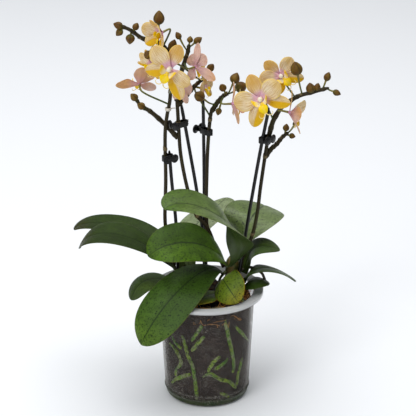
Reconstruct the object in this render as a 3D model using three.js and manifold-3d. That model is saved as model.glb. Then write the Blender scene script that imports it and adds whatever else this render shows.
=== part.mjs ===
// A potted moth orchid: two small plants in one clear 12 cm grow pot, with four flower spikes
// clipped to black sticks. Millimetres, +Z up, origin at the centre of the pot's flat base.
// The plants' leaves arch to both sides (X), and the front, where the big leaf hangs, is -Y.
import * as THREE from "three";
import { mergeVertices } from "three/addons/utils/BufferGeometryUtils.js";
import Module from "manifold-3d";

const wasm = await Module();
wasm.setup();

// ---- driving dimensions ----

const GAP = 0.3; // clearance that touching pieces keep
const SEAM_SLIVER = 0.12; // faces finer than this are closed up where grown pieces join

const POT_HEIGHT = 120;
const POT_BASE_RADIUS = 44.3;
const POT_NECK_RADIUS = 50.6; // outside of the wall, just under the rim
const RIM_RADIUS = 60;
const RIM_LIP_HEIGHT = 4;
const POT_WALL = 1.4;
const POT_SEGMENTS = 36;
const DRAIN_HOLES = 8;
const DRAIN_HOLE_RADIUS = 3.2;
const DRAIN_CIRCLE_RADIUS = 31;

const SOIL_TOP = 108;
const SOIL_LUMP = 2.2;

const ROOT_RADIUS = 2.3;
const SPIKE_RADIUS = 1.9;
const SPIKE_TOP_RADIUS = 2.3; // knobbly with the scars of old scales
const PEDICEL_RADIUS = 1.1;
const STAKE_RADIUS = 1.8;

const LEAF_THICK = 1.8;
const LEAF_EDGE_THICK = 0.9;
const TEPAL_THICK = 1.0;
const TEPAL_EDGE_THICK = 0.7;

// ---- colours ----

const COLOURS = {
  clearPlastic: 0xc9ccca,
  bark: 0x3a3028,
  root: 0x5f7a35,
  leaf: 0x46692d,
  youngLeaf: 0x73872a,
  spike: 0x2f2a16,
  tepal: 0xe3c184,
  lip: 0xe0bc10,
  blackPlastic: 0x111112,
  tie: 0xe4ddcc,
  tag: 0xb9bcbb,
};

const ROUGHNESS = { clearPlastic: 0.2, bark: 0.95, blackPlastic: 0.35 };

const orchid = new THREE.Group();

// ---- solids: joining, cutting and naming ----

const vec = ([x, y, z]) => new THREE.Vector3(x, y, z);

// A closed geometry, with its shared vertices merged, as a solid that can be joined and cut.
function solid(geometry) {
  const loose = geometry.index ? geometry.toNonIndexed() : geometry.clone();
  loose.deleteAttribute("normal");
  loose.deleteAttribute("uv");
  const merged = mergeVertices(loose, 1e-3);
  return new wasm.Manifold(
    new wasm.Mesh({
      numProp: 3,
      vertProperties: new Float32Array(merged.attributes.position.array),
      triVerts: new Uint32Array(merged.index.array),
    }),
  );
}

// The pieces as one body, less the slivers that their seams leave.
function joined(solids) {
  return solids.reduce((whole, piece) => whole.add(piece)).simplify(SEAM_SLIVER);
}

function geometryOf(body) {
  const mesh = body.getMesh();
  const positions = new Float32Array(mesh.numVert * 3);
  for (let i = 0; i < mesh.numVert; i++) {
    positions.set(mesh.vertProperties.subarray(i * mesh.numProp, i * mesh.numProp + 3), i * 3);
  }
  const geometry = new THREE.BufferGeometry();
  geometry.setAttribute("position", new THREE.BufferAttribute(positions, 3));
  geometry.setIndex(new THREE.BufferAttribute(mesh.triVerts, 1));
  geometry.computeVertexNormals();
  return geometry;
}

// Adds the piece to a group, and gives back its mesh for placing.
function addPiece(name, body, colour, group = orchid) {
  const material = new THREE.MeshStandardMaterial({
    color: COLOURS[colour],
    roughness: ROUGHNESS[colour] ?? 0.6,
    metalness: 0,
  });
  const mesh = new THREE.Mesh(geometryOf(body), material);
  mesh.name = name;
  group.add(mesh);
  return mesh;
}

// ---- shapes: tubes, beads and blades ----

// A round rod of one radius along a smooth curve through the points.
function tube(points, radius, { sides = 6, steps = points.length + 3 } = {}) {
  const section = new THREE.Shape();
  for (let i = 0; i < sides; i++) {
    const angle = (2 * Math.PI * i) / sides;
    const put = i === 0 ? "moveTo" : "lineTo";
    section[put](radius * Math.cos(angle), radius * Math.sin(angle));
  }
  const path = new THREE.CatmullRomCurve3(points.map(vec), false, "centripetal");
  return solid(
    new THREE.ExtrudeGeometry(section, { steps, extrudePath: path, bevelEnabled: false }),
  );
}

// An egg shape of few faces, its long axis along a direction.
function bead(centre, length, width, direction, sides = 5) {
  const egg = new THREE.SphereGeometry(0.5, sides, 4);
  egg.scale(width, length, width);
  const turn = new THREE.Quaternion().setFromUnitVectors(
    new THREE.Vector3(0, 1, 0),
    vec(direction).normalize(),
  );
  egg.applyQuaternion(turn);
  egg.translate(...centre);
  return solid(egg);
}

// Half-width of a blade along its length, as a share of its greatest half-width.
function bladeOutline(t, { neck, widest, blunt }) {
  if (t < widest) {
    return neck + (1 - neck) * Math.sin((Math.PI / 2) * (t / widest)) ** 1.5;
  }
  const past = (t - widest) / (1 - widest);
  return Math.max(0.07, (1 - past ** blunt) ** 0.62);
}

const LEAF_OUTLINE = { neck: 0.22, widest: 0.6, blunt: 2.6 };

// A leaf, sepal or petal: its middle line is a cubic curve, and each cross-section is a shallow V
// whose two halves curl down a little at the edge. Roll turns the section about the middle line.
function blade(path, width, options = {}) {
  const {
    roll = [0, 0],
    fold = [12, 4],
    curl = 0.1,
    up = [0, 0, 1],
    thick = LEAF_THICK,
    edgeThick = LEAF_EDGE_THICK,
    outline = LEAF_OUTLINE,
    along = 7,
    across = 4,
  } = options;
  const [a, b, c, d] = path.map(vec);
  const curve = new THREE.CubicBezierCurve3(a, b, c, d);
  const upward = vec(up);
  const top = [];
  const bottom = [];
  for (let i = 0; i <= along; i++) {
    const t = i / along;
    const centre = curve.getPoint(t);
    const tangent = curve.getTangent(t);
    const side = new THREE.Vector3().crossVectors(upward, tangent).normalize();
    const turn = THREE.MathUtils.degToRad(THREE.MathUtils.lerp(roll[0], roll[1], t));
    side.applyAxisAngle(tangent, turn);
    const normal = new THREE.Vector3().crossVectors(tangent, side).normalize();
    const lift = THREE.MathUtils.degToRad(THREE.MathUtils.lerp(fold[0], fold[1], t));
    const half = (width / 2) * bladeOutline(t, outline);
    for (let j = 0; j <= across; j++) {
      const u = (2 * j) / across - 1;
      const rise = half * (Math.abs(u) * Math.sin(lift) - curl * u * u);
      const point = centre
        .clone()
        .addScaledVector(side, half * u * Math.cos(lift))
        .addScaledVector(normal, rise);
      const reach = THREE.MathUtils.lerp(thick, edgeThick, Math.abs(u)) / 2;
      top.push(point.clone().addScaledVector(normal, reach));
      bottom.push(point.clone().addScaledVector(normal, -reach));
    }
  }
  return solid(closedSheet(top, bottom, along, across));
}

// Two like grids of points, upper and lower, closed all round into one thin body.
function closedSheet(top, bottom, along, across) {
  const row = across + 1;
  const below = top.length;
  const faces = [];
  const quad = (p, q, r, s) => faces.push(p, q, r, p, r, s);
  for (let i = 0; i < along; i++) {
    for (let j = 0; j < across; j++) {
      const p = i * row + j;
      const [q, r, s] = [p + row, p + row + 1, p + 1];
      quad(p, q, r, s);
      faces.push(below + p, below + r, below + q, below + p, below + s, below + r);
    }
    const left = i * row;
    const right = left + across;
    quad(left, below + left, below + left + row, left + row);
    quad(right, right + row, below + right + row, below + right);
  }
  const last = along * row;
  for (let j = 0; j < across; j++) {
    quad(j, j + 1, below + j + 1, below + j);
    quad(last + j, below + last + j, below + last + j + 1, last + j + 1);
  }
  const geometry = new THREE.BufferGeometry();
  geometry.setFromPoints([...top, ...bottom]);
  geometry.setIndex(faces);
  return geometry;
}

// ---- pot: one thin clear shell with a wide flat rim and drain holes ----

const potRadiusAt = (z) =>
  POT_BASE_RADIUS + (POT_NECK_RADIUS - POT_BASE_RADIUS) * (z / (POT_HEIGHT - RIM_LIP_HEIGHT)) ** 0.8;

// A profile of [radius, height] points turned round a vertical axis.
function revolved(profile, segments = POT_SEGMENTS) {
  const lathe = new THREE.LatheGeometry(
    profile.map(([r, z]) => new THREE.Vector2(r, z)),
    segments,
  );
  return lathe.rotateX(Math.PI / 2);
}

function addPot() {
  const wallHeights = [13, 60, POT_HEIGHT - RIM_LIP_HEIGHT];
  const outside = wallHeights.map((z) => [potRadiusAt(z), z]);
  const inside = wallHeights.map((z) => [potRadiusAt(z) - POT_WALL, z]).reverse();
  const ring = potRadiusAt(8.5);
  const shell = revolved([
    [0, 0],
    [POT_BASE_RADIUS - 4, 0],
    [POT_BASE_RADIUS, 3],
    [ring + 0.9, 8.5],
    ...outside,
    [POT_NECK_RADIUS + 1, POT_HEIGHT - POT_WALL],
    [RIM_RADIUS - 1.1, POT_HEIGHT - POT_WALL],
    [RIM_RADIUS - 0.9, POT_HEIGHT - RIM_LIP_HEIGHT],
    [RIM_RADIUS, POT_HEIGHT - RIM_LIP_HEIGHT],
    [RIM_RADIUS, POT_HEIGHT],
    [POT_NECK_RADIUS, POT_HEIGHT],
    ...inside,
    [ring - POT_WALL, 8.5],
    [POT_BASE_RADIUS - POT_WALL, 4],
    [POT_BASE_RADIUS - 4, POT_WALL],
    [0, POT_WALL],
  ]);
  const holes = [];
  for (let i = 0; i < DRAIN_HOLES; i++) {
    const angle = (2 * Math.PI * i) / DRAIN_HOLES;
    const hole = new THREE.CylinderGeometry(DRAIN_HOLE_RADIUS, DRAIN_HOLE_RADIUS, 8, 8);
    hole.rotateX(Math.PI / 2);
    hole.translate(DRAIN_CIRCLE_RADIUS * Math.cos(angle), DRAIN_CIRCLE_RADIUS * Math.sin(angle), 0);
    holes.push(solid(hole));
  }
  addPiece("pot", holes.reduce((pot, hole) => pot.subtract(hole), solid(shell)), "clearPlastic");
}

// ---- stems and roots: a short leafy stem with roots that run down along the pot's wall ----

// swing: how far the roots bow sideways on their way to the wall, clear of the stakes.
const STEMS = {
  right: { base: [27, 8], radius: 8, top: 152, swing: 10 },
  left: { base: [-22, 18], radius: 7, top: 134, swing: -4 },
};

// Each root leaves its stem and then follows the wall: degrees round from the front, and height.
const WALL_ROOTS = {
  left: [
    [[-36, 85], [-31, 73], [-26, 59], [-20, 48], [-18, 36], [-16, 23], [-15, 6]],
    [[-73, 66], [-51, 64], [-41, 56], [-38, 50], [-48, 37], [-51, 29]],
    [[-56, 77], [-47, 71], [-36, 66]],
    [[-7, 98], [-14, 88], [-21, 78]],
    [[-4, 86], [-13, 76], [-21, 66]],
    [[-73, 14], [-49, 26], [-31, 35], [-23, 38]],
    [[-140, 80], [-128, 55], [-132, 28], [-124, 10]],
    [[-168, 92], [-176, 62], [-166, 34]],
  ],
  right: [
    [[25, 104], [28, 88], [35, 65], [40, 46], [39, 36]],
    [[41, 94], [56, 78], [88, 56]],
    [[-8, 36], [4, 40], [19, 32], [33, 27], [48, 15]],
    [[2, 43], [9, 54], [18, 61]],
    [[32, 57], [23, 51], [11, 45]],
    [[58, 54], [55, 44], [50, 33], [48, 18]],
    [[17, 18], [28, 11], [35, 7]],
    [[118, 88], [126, 60], [117, 34], [122, 12]],
    [[152, 84], [146, 52], [154, 30]],
  ],
};

// The first stop lies a little deeper, where the root turns down along the wall.
function wallPoint([degrees, z], stop) {
  const inset = stop === 0 ? 2.2 : 0.7;
  const radius = potRadiusAt(z) - POT_WALL - ROOT_RADIUS - GAP - inset;
  const angle = THREE.MathUtils.degToRad(degrees);
  return [radius * Math.sin(angle), -radius * Math.cos(angle), z];
}

function rootPaths(side) {
  const { base, swing } = STEMS[side];
  const [x, y] = base;
  return WALL_ROOTS[side].map((stops) => {
    const wall = stops.map(wallPoint);
    const [first] = wall;
    const inner = [x, y, SOIL_TOP - 12];
    const level = THREE.MathUtils.clamp(first[2] / 2 + 43, first[2] + 3, SOIL_TOP - 6);
    const between = [(x + first[0]) / 2 + swing, (y + first[1]) / 2, level];
    return [inner, between, ...wall];
  });
}

// The short way that a root's groove runs on past the root's end.
function rootTip(path, grow) {
  const [before, end] = path.slice(-2).map(vec);
  const step = end.clone().sub(before).setLength(grow);
  return tube([end.clone().sub(step).toArray(), end.add(step).toArray()], ROOT_RADIUS + grow, {
    steps: 1,
  });
}

function stemAndRoots(side, grow = 0) {
  const { base, radius, top } = STEMS[side];
  const stem = revolved(
    [
      [0, 84],
      [radius * 0.7 + grow, 86],
      [radius + grow, 100],
      [radius + grow, top - 6],
      [radius * 0.7 + grow, top],
      [0, top + 1],
    ],
    10,
  );
  stem.translate(base[0], base[1], 0);
  const roots = rootPaths(side).map((path) =>
    tube(path, ROOT_RADIUS + grow, { sides: 5, steps: path.length }),
  );
  const tips = grow > 0 ? rootPaths(side).map((path) => rootTip(path, grow)) : [];
  return joined([solid(stem), ...roots, ...tips]);
}

// ---- sticks: black stakes that stand in the bark mix, one beside each spike ----

const STAKES = {
  stake_left: [[-31.8, 22, 60], [-31.3, 21, 139], [-33, 17, 191], [-37, 16, 237], [-39.2, 16, 270]],
  stake_centre_left: [[3, 26, 20], [-2, 25, 150], [-10, 23, 217], [-18, 21, 268], [-27, 20, 322]],
  stake_centre: [[-3, 31, 20], [-3, 30, 150], [-3, 29, 233], [-4, 28, 326]],
  stake_right: [[24, -6, 88], [34, -5.5, 143], [46, -7, 223], [55.5, -7, 283], [63, -7, 325]],
};

const stakeRod = (points, radius) => tube(points, radius, { sides: 6, steps: 6 });

// ---- bark mix: fills the pot, with grooves for the roots and plain holes for the stakes ----

function addSubstrate() {
  const clear = GAP + 0.1;
  const seat = (z) => potRadiusAt(z) - POT_WALL - clear;
  const lumpy = [36, 18].map((r) => [r, SOIL_TOP]);
  const mix = revolved([
    [0, POT_WALL + clear],
    [POT_BASE_RADIUS - 4.5, POT_WALL + clear],
    [POT_BASE_RADIUS - POT_WALL - clear, 4.6],
    [seat(8.5), 8.5],
    ...[13, 60, SOIL_TOP - 3].map((z) => [seat(z), z]),
    ...lumpy,
    [0, SOIL_TOP],
  ]);
  const points = mix.attributes.position;
  for (let i = 0; i < points.count; i++) {
    if (points.getZ(i) > SOIL_TOP - 1) {
      const lump = Math.sin(points.getX(i) / 6.1) * Math.cos(points.getY(i) / 7.3);
      points.setZ(i, points.getZ(i) + SOIL_LUMP * lump);
    }
  }
  const taken = [
    ...Object.keys(STEMS).map((side) => stemAndRoots(side, GAP + 0.2)),
    ...Object.values(STAKES).map((points) => stakeRod(points, STAKE_RADIUS + GAP)),
    tagSlip(GAP),
  ];
  const soil = taken.reduce((rest, piece) => rest.subtract(piece), solid(mix));
  const [largest] = soil.simplify(SEAM_SLIVER / 2).decompose().sort((a, b) => b.volume() - a.volume());
  addPiece("bark_mix", largest, "bark");
}

// ---- leaves ----

// path: the middle line from the stem to the tip; width in mm; roll and fold in degrees at each end.
const LEAVES = {
  leaf_crest: {
    path: [[25.4, -7, 149], [61, -46, 203], [-20, -32, 247], [-43, -50, 231]],
    width: 58,
    roll: [4, -10],
    fold: [10, 16],
  },
  leaf_front_left: {
    path: [[18.7, 4.6, 146], [7, -5, 178], [-38, -16, 188], [-61, -24, 167]],
    width: 58,
    roll: [-26, -22],
    fold: [14, 6],
    outline: { neck: 0.32, widest: 0.5, blunt: 2.6 },
  },
  leaf_long_upper: {
    path: [[-27, 28, 131], [-42, 50, 162], [-124, 55, 185], [-144, 50, 166]],
    width: 46,
    roll: [-18, 8],
    fold: [16, 8],
  },
  leaf_long_lower: {
    path: [[-30, 8, 132], [-50, -6.5, 174], [-117, 4, 202], [-135, 5, 164]],
    width: 54,
    roll: [-10, 2],
    fold: [12, 8],
  },
  leaf_big_front: {
    path: [[16, 0, 137], [3, -3, 163], [-52, -58, 126], [-68, -65, 85]],
    width: 58,
    roll: [0, -18],
    fold: [6, 0],
  },
  leaf_low_left: {
    path: [[-29, 9, 117], [-39, 4, 127], [-72, -3, 145], [-80, -14, 112]],
    width: 38,
    roll: [-14, 8],
    fold: [6, -4],
  },
  leaf_round_front: {
    path: [[20.8, 0, 125.8], [12, -18, 147], [19, -32, 140], [33, -44, 123.6]],
    width: 37,
    roll: [42, 52],
    fold: [0, -4],
  },
  leaf_under_front: {
    path: [[21, 1.6, 114], [5, -10, 117], [-6, -26, 123.4], [-9, -42, 120.6]],
    width: 30,
  },
  leaf_back_left: {
    path: [[-17, 28.5, 123], [-34, 53, 170], [4, 65, 174], [21, 110, 179]],
    width: 56,
    roll: [-16, -13],
    fold: [12, 4],
  },
  leaf_back_right: {
    path: [[33.5, 18.5, 142], [42, 25, 187], [47, 16, 197], [63, 90, 178]],
    width: 64,
    roll: [-12, 15],
    fold: [17, 10],
    outline: { neck: 0.22, widest: 0.6, blunt: 3.4 },
  },
  leaf_right_upper: {
    path: [[39.3, 6.7, 134.7], [44, 9.3, 159.3], [50, 8, 172], [77, 1, 163]],
    width: 43,
    roll: [20, -6],
    fold: [12, 5],
  },
  leaf_right_long: {
    path: [[38, 0.5, 125], [43, -7, 143], [63, 4, 152], [95, 6, 125]],
    width: 38,
    roll: [-12, -12],
    fold: [14, 3],
  },
  leaf_right_low: {
    path: [[36, -1.4, 115.6], [41, -6.5, 131.5], [54, -5, 133], [65, -12, 129]],
    width: 34,
    roll: [10, -10],
    fold: [4, -4],
  },
};

const YOUNG_LEAVES = ["leaf_round_front", "leaf_under_front"];

function addLeaves() {
  for (const [name, { path, width, ...shape }] of Object.entries(LEAVES)) {
    const colour = YOUNG_LEAVES.includes(name) ? "youngLeaf" : "leaf";
    addPiece(name, blade(path, width, shape), colour);
  }
}

// ---- blooms: five tepals round a column, and a lip ----

// centre: where the five tepals meet. facing: degrees round from the front, and upward tilt.
// spin: turn of the flower in its own plane. cup: how far the tepals still lean forward.
// tepals: the five of a flower whose tepals have grown or turned unevenly, as in TEPAL_SET.
const BLOOMS = {
  bloom_top_left: { centre: [-45, -6, 404], facing: [-48, -6], spin: 0, size: 0.76, cup: 40 },
  bloom_main_left: {
    centre: [-36, -24, 373], facing: [-20, -8], spin: -25, size: 1.03, cup: 4,
    tepals: [
      [90, 1, 0.9, 0], [150, 1, 0.9, 0], [-14, 0.9, 0.72, 0], [-50, 1.22, 0.95, 0],
      [-142, 0.95, 0.9, 0],
    ],
  },
  bloom_side_left: {
    centre: [-55, -1, 368.5], facing: [-50, -10], spin: 5, size: 0.64, cup: 12,
    tepals: [
      [95, 1, 0.9, 0], [135, 1, 0.9, 0], [22, 1, 0.9, 0], [-50, 0.9, 0.9, 0], [178, 1.15, 0.5, 0],
    ],
  },
  bloom_far_left: {
    centre: [-69, 8, 345], facing: [-165, 20], spin: 0, size: 0.75, cup: 8,
    tepals: [
      [97, 0.95, 1.15, 0], [152, 0.95, 0.6, 0], [0, 1, 0.55, 0], [-2, 1.15, 0.85, 0],
      [-153, 1, 0.85, 0],
    ],
  },
  bloom_upper_centre: {
    centre: [-12, -6, 368], facing: [143, -5], spin: 0, size: 0.8, cup: 10,
    tepals: [
      [90, 1.1, 0.65, 0], [128, 0.75, 0.7, 0], [48, 0.6, 0.9, 0], [-60, 0.75, 0.8, 0],
      [-158, 1.15, 0.85, 0],
    ],
  },
  bloom_lower_centre: { centre: [-3, 15, 338], facing: [60, 5], spin: 0, size: 0.5, cup: 12 },
  bloom_behind_left: { centre: [-27, -0.5, 342], facing: [130, -10], spin: 0, size: 0.58, cup: 8 },
  bloom_edge_right: {
    centre: [26, 8, 324], facing: [100, -5], spin: 0, size: 0.84, cup: 30,
    tepals: [
      [90, 1, 0.6, -30], [158, 1, 1, 0], [22, 0.9, 0.9, 0], [-42, 1, 0.85, -15],
      [-138, 1, 0.9, -15],
    ],
  },
  bloom_main_right: {
    centre: [54, -22, 340], facing: [-8, 4], spin: 26, size: 1, cup: 3,
    tepals: [
      [90, 0.95, 0.95, 0], [164, 1, 0.9, 0], [20, 0.95, 0.9, 0], [-33, 1.08, 0.85, 0],
      [-128, 1.08, 0.95, 0],
    ],
  },
  bloom_upper_right: {
    centre: [74.5, 8, 354.5], facing: [10, 5], spin: 47, size: 0.88, cup: 5,
    tepals: [
      [90, 0.9, 0.9, 0], [140, 0.95, 0.85, 0], [13, 0.9, 0.75, 0], [-57, 1, 0.8, 0],
      [-145, 0.8, 0.9, 0],
    ],
  },
  bloom_lower_right: {
    centre: [84, -7, 320], facing: [80, -8], spin: 0, size: 0.85, cup: 42,
    tepals: [
      [92, 1, 0.5, -44], [165, 0.85, 0.78, 0], [22, 0.9, 0.95, 0], [-50, 1, 0.8, -10],
      [-130, 1.1, 0.7, -2],
    ],
  },
};

const SEPAL = { length: 28, width: 17, start: 0, outline: { neck: 0.3, widest: 0.5, blunt: 2 } };
const PETAL = { length: 27, width: 24, start: 2, outline: { neck: 0.26, widest: 0.5, blunt: 2.2 } };
const TEPALS = [SEPAL, PETAL, PETAL, SEPAL, SEPAL];
// Each tepal's direction in degrees round the face from its right, its length and width as shares
// of the usual, and how much further it leans forward than the flower's cup.
const TEPAL_SET = [[90, 1, 1, 0], [158, 1, 1, 0], [22, 1, 1, 0], [-42, 1, 1, 0], [-138, 1, 1, 0]];
const TEPAL_FOOT = 1.8; // from the flower's middle out to where a tepal starts
const COLUMN = { radius: 2.3, length: 7.5 };

// A flower's own frame: x to its right, y towards its upper sepal, z out of its face.
function flowerFrame({ centre, facing, spin }) {
  const [azimuth, tilt, turn] = [...facing, spin].map(THREE.MathUtils.degToRad);
  const out = new THREE.Vector3(
    Math.sin(azimuth) * Math.cos(tilt),
    -Math.cos(azimuth) * Math.cos(tilt),
    Math.sin(tilt),
  );
  const right = new THREE.Vector3(Math.cos(azimuth), Math.sin(azimuth), 0).applyAxisAngle(out, turn);
  const up = new THREE.Vector3().crossVectors(out, right);
  const frame = new THREE.Group();
  frame.position.set(...centre);
  frame.setRotationFromMatrix(new THREE.Matrix4().makeBasis(right, up, out));
  frame.updateMatrix();
  return frame;
}

function tepal({ length, width, start, outline }, [angle, longer, wider, further], { size, cup }) {
  const [turn, lean] = [angle, cup + further].map(THREE.MathUtils.degToRad);
  const at = (share, lift) => {
    const reach = TEPAL_FOOT + longer * length * share * Math.cos(lean);
    const height = start + longer * length * share * Math.sin(lean) + lift;
    return [reach * Math.cos(turn), reach * Math.sin(turn), height].map((v) => v * size);
  };
  return blade([at(0, 0), at(0.33, 0.6), at(0.7, 1.5), at(0.95, -1)], wider * width * size, {
    fold: [10, 2],
    thick: TEPAL_THICK,
    edgeThick: TEPAL_EDGE_THICK,
    outline,
    along: 3,
    across: 2,
  });
}

function addBlooms() {
  for (const [name, bloom] of Object.entries(BLOOMS)) {
    const { size, cup, tepals = TEPAL_SET } = bloom;
    const flower = flowerFrame(bloom);
    const middle = [[0, 0, -1], [0, 0.4, COLUMN.length / 2], [0, 0, COLUMN.length]];
    const column = tube(scaled(middle, size), COLUMN.radius * size, { sides: 5, steps: 2 });
    const blades = TEPALS.map((shape, i) => tepal(shape, tepals[i], bloom));
    addPiece(name, joined([column, ...blades]), "tepal", flower);
    addPiece(name.replace("bloom", "lip"), lip(size, 1 - cup / 70), "lip", flower);
    orchid.add(flower);
  }
}

const scaled = (points, size) => points.map((point) => point.map((v) => v * size));

// The lip: a pointed middle lobe with two tendrils, a lobe up each side of the column, and the
// knob where the three meet. In a half-open flower it spreads less.
function lip(size, spread) {
  const lobe = (path, width, up, across) =>
    blade(scaled(path, size), width * size, {
      up,
      thick: 0.9,
      edgeThick: 0.7,
      along: 3,
      across,
    });
  const parts = [
    lobe([[0, -5, 5.6], [0, -7, 9], [0, -10, 11], [0, -15, 8.5]], 9 * spread, [0, 0, 1], 2),
    bead(scaled([[0, -4.7, 5]], size)[0], 4.4 * size, 4.2 * size, [0, 0, 1]),
  ];
  for (const side of [-1, 1]) {
    const mirrored = (points) => points.map(([x, y, z]) => [side * x * spread, y, z]);
    const sideLobe = [[1, -4.8, 4.8], [5, -4.5, 6], [8, -2, 9], [8.5, 3.5, 9]];
    const tendril = [[0.5, -14, 9], [3, -17, 9.5], [6.5, -17, 9], [7.5, -14, 8.5]];
    parts.push(lobe(mirrored(sideLobe), 6.5, [-side, 0, 0], 1));
    parts.push(tube(scaled(mirrored(tendril), size), 0.5, { sides: 3, steps: 2 }));
  }
  return joined(parts);
}

// ---- flower spikes: stem, side branch, flower stalks and buds, grown in one piece ----

const STALK_SEAT = 0.7; // from the foot of a flower's column back to the end of its stalk

// stem, upper and branches: lines of points. flowers: which bloom, and where its stalk leaves.
// buds: where the stalk leaves, the middle of the bud, its length and width.
const SPIKES = {
  spike_left: {
    stem: [
      [-29.5, 14, 124], [-35, 16, 138], [-37, 19, 156], [-41, 17, 170], [-44, 14, 188],
      [-43, 12, 239], [-43, 12, 293], [-41, 12, 310], [-38, 12, 326], [-37, 12, 348],
    ],
    upper: [
      [-37, 12, 345], [-37, 12, 362], [-39, 11, 377], [-47, 8, 388], [-65, 4, 395], [-77, 3, 404],
      [-88, 2, 409],
    ],
    flowers: [
      ["bloom_top_left", [-44, 9, 385]],
      ["bloom_side_left", [-38, 12, 372]],
      ["bloom_far_left", [-39, 12, 322]],
      ["bloom_behind_left", [-38, 12, 334]],
    ],
    buds: [
      [[-49, 7, 389], [-48, 6, 416], 15, 11.5],
      [[-38.5, 11, 373], [-34.5, 10, 385.5], 14, 9.5],
      [[-53, 6.7, 390], [-59, -13, 382.5], 11, 8.5],
      [[-84, 2, 407], [-89, 2, 409], 10, 8],
      [[-83, 2, 407], [-88, 2, 401.5], 9, 7.5],
      [[-74, 3, 402], [-71, 2, 408], 8.5, 7],
      [[-76, 3, 403], [-77, 2, 394.5], 10.5, 9.5],
    ],
  },
  spike_centre_left: {
    stem: [
      [18, 13, 138], [12, 18, 150], [0, 18, 183], [-12, 17, 198], [-20, 15, 226], [-27, 15, 264],
      [-29, 15, 290], [-30, 15, 312], [-31, 15, 328],
    ],
    upper: [
      [-31, 15, 325], [-30, 14, 340], [-27, 13, 353], [-22, 11, 370], [-19, 10, 380],
      [-18, 10, 387],
    ],
    branches: [
      [[-30, 15, 284], [-43, 20, 297], [-59, 20, 312], [-68, 19, 318], [-73, 18, 326]],
      [[-30, 15, 320], [-21, 17, 330], [-12, 19, 340], [-4, 20, 347]],
    ],
    flowers: [
      ["bloom_upper_centre", [-23, 11.4, 367]],
      ["bloom_main_left", [-6, 19.5, 345]],
    ],
    buds: [
      [[-18, 10, 386], [-17, 10, 392], 7, 6.5],
      [[-20, 10, 380], [-29, 10, 396], 8.5, 6.5],
      [[-18, 10, 384], [-9, 10, 391], 10, 7.5],
      [[-5, 20, 346], [-2, 20, 350], 8, 6.5],
      [[-7, 19.5, 344], [4, 14, 361], 10, 8],
      [[-65, 19, 316], [-68, 18, 318.5], 9.5, 8],
      [[-72, 18, 325], [-75, 18, 328], 9.5, 8],
    ],
  },
  spike_centre: {
    stem: [
      [25, 18, 132], [16, 25, 142], [4, 23, 165], [0, 22, 183], [0, 22, 247], [1, 22, 273],
      [3, 22, 300], [5, 22, 314],
    ],
    upper: [
      [5, 22, 311], [11, 22, 321], [18, 21, 329], [22, 20, 331],
    ],
    flowers: [
      ["bloom_edge_right", [17, 21, 328]],
      ["bloom_lower_centre", [4, 22, 304]],
    ],
    buds: [
      [[9, 22, 318], [-8, -1, 335.5], 14, 11],
      [[20, 20, 330], [16, 16, 339], 9, 8],
      [[22, 20, 331], [29, 24, 346.5], 12, 10.5],
      [[16, 22, 327], [12, 18, 312], 8, 6.5],
      [[21, 21, 330], [35.5, 33, 334], 14, 12],
    ],
  },
  spike_right: {
    stem: [
      [35, 0, 140], [38, -1, 157], [44, 0, 171], [49, 0, 187], [53, 0, 210], [55, 0, 230],
      [58, 0, 255], [61, 0, 278], [64, 0, 297],
    ],
    upper: [
      [64, 0, 294], [68, 0, 309], [77, 0, 324], [85, 0, 330], [93, 0, 335], [110, 0, 340],
      [124, 0, 344],
    ],
    branches: [
      [[60, 1, 268], [66, 4, 276], [72, 6, 281], [78, 8, 288], [84, 8, 293]],
    ],
    flowers: [
      ["bloom_main_right", [68, 0, 309]],
      ["bloom_upper_right", [90, 0, 333]],
      ["bloom_lower_right", [73, 0, 318]],
    ],
    buds: [
      [[97, 0, 336], [89.8, -7, 367], 15.5, 12.5],
      [[106, 0, 338], [105, 0, 344], 11, 10],
      [[111, 0, 340], [112, 0, 345], 8.5, 7],
      [[117, 0, 342], [122, 0, 356], 10, 7.5],
      [[122, 0, 343], [132, 0, 338.5], 9, 6.5],
      [[80, 8, 290], [81.5, 9, 298], 8, 7],
      [[81, 7.5, 291], [88, 8, 289], 7, 6],
      [[83, 8, 292], [92, 21, 298], 8, 6],
    ],
  },
};

function flowerStalk(name, from) {
  const bloom = BLOOMS[name];
  const { matrix } = flowerFrame(bloom);
  const behind = (distance) => new THREE.Vector3(0, 0, -distance).applyMatrix4(matrix).toArray();
  const path = [from, behind(11), behind(bloom.size + STALK_SEAT)];
  return tube(path, PEDICEL_RADIUS, { sides: 4, steps: 3 });
}

function bud(from, centre, length, width) {
  const direction = vec(centre).sub(vec(from)).toArray();
  return [
    tube([from, centre], PEDICEL_RADIUS, { sides: 4, steps: 1 }),
    bead(centre, length, width, direction),
  ];
}

function addSpikes() {
  for (const [name, { stem, upper, branches = [], flowers, buds }] of Object.entries(SPIKES)) {
    const parts = [
      tube(stem, SPIKE_RADIUS, { steps: stem.length }),
      tube(upper, SPIKE_TOP_RADIUS, { steps: upper.length }),
      ...branches.map((branch) => tube(branch, SPIKE_TOP_RADIUS, { sides: 5, steps: branch.length })),
    ];
    for (const [bloom, from] of flowers) {
      parts.push(flowerStalk(bloom, from));
    }
    for (const spec of buds) {
      parts.push(...bud(...spec));
    }
    addPiece(name, joined(parts), "spike");
  }
}

// ---- clips that hold each spike to its stake, and the paper tie between two spikes ----

const CLIP_HEIGHT = 6;
const CLIP_WALL = 1.3;
const CLIP_CLEAR = 0.7;
const CLIP_TAB_RADIUS = 4.6;

// rods: the two rods' middles at the clip's height. tabs: which way the finger tabs face,
// in degrees from the line through the rods.
const CLIPS = {
  clip_left: { rods: [[-38.9, 16], [-43, 12]], height: 263, tabs: 76 },
  clip_centre_left: { rods: [[-23.2, 20.3], [-29.6, 15]], height: 299, tabs: 0 },
  clip_centre: { rods: [[2.2, 22], [-3.7, 28.4]], height: 288, tabs: 0 },
  clip_right: { rods: [[56.6, -7], [62.6, 0]], height: 290, tabs: -90 },
};

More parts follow.
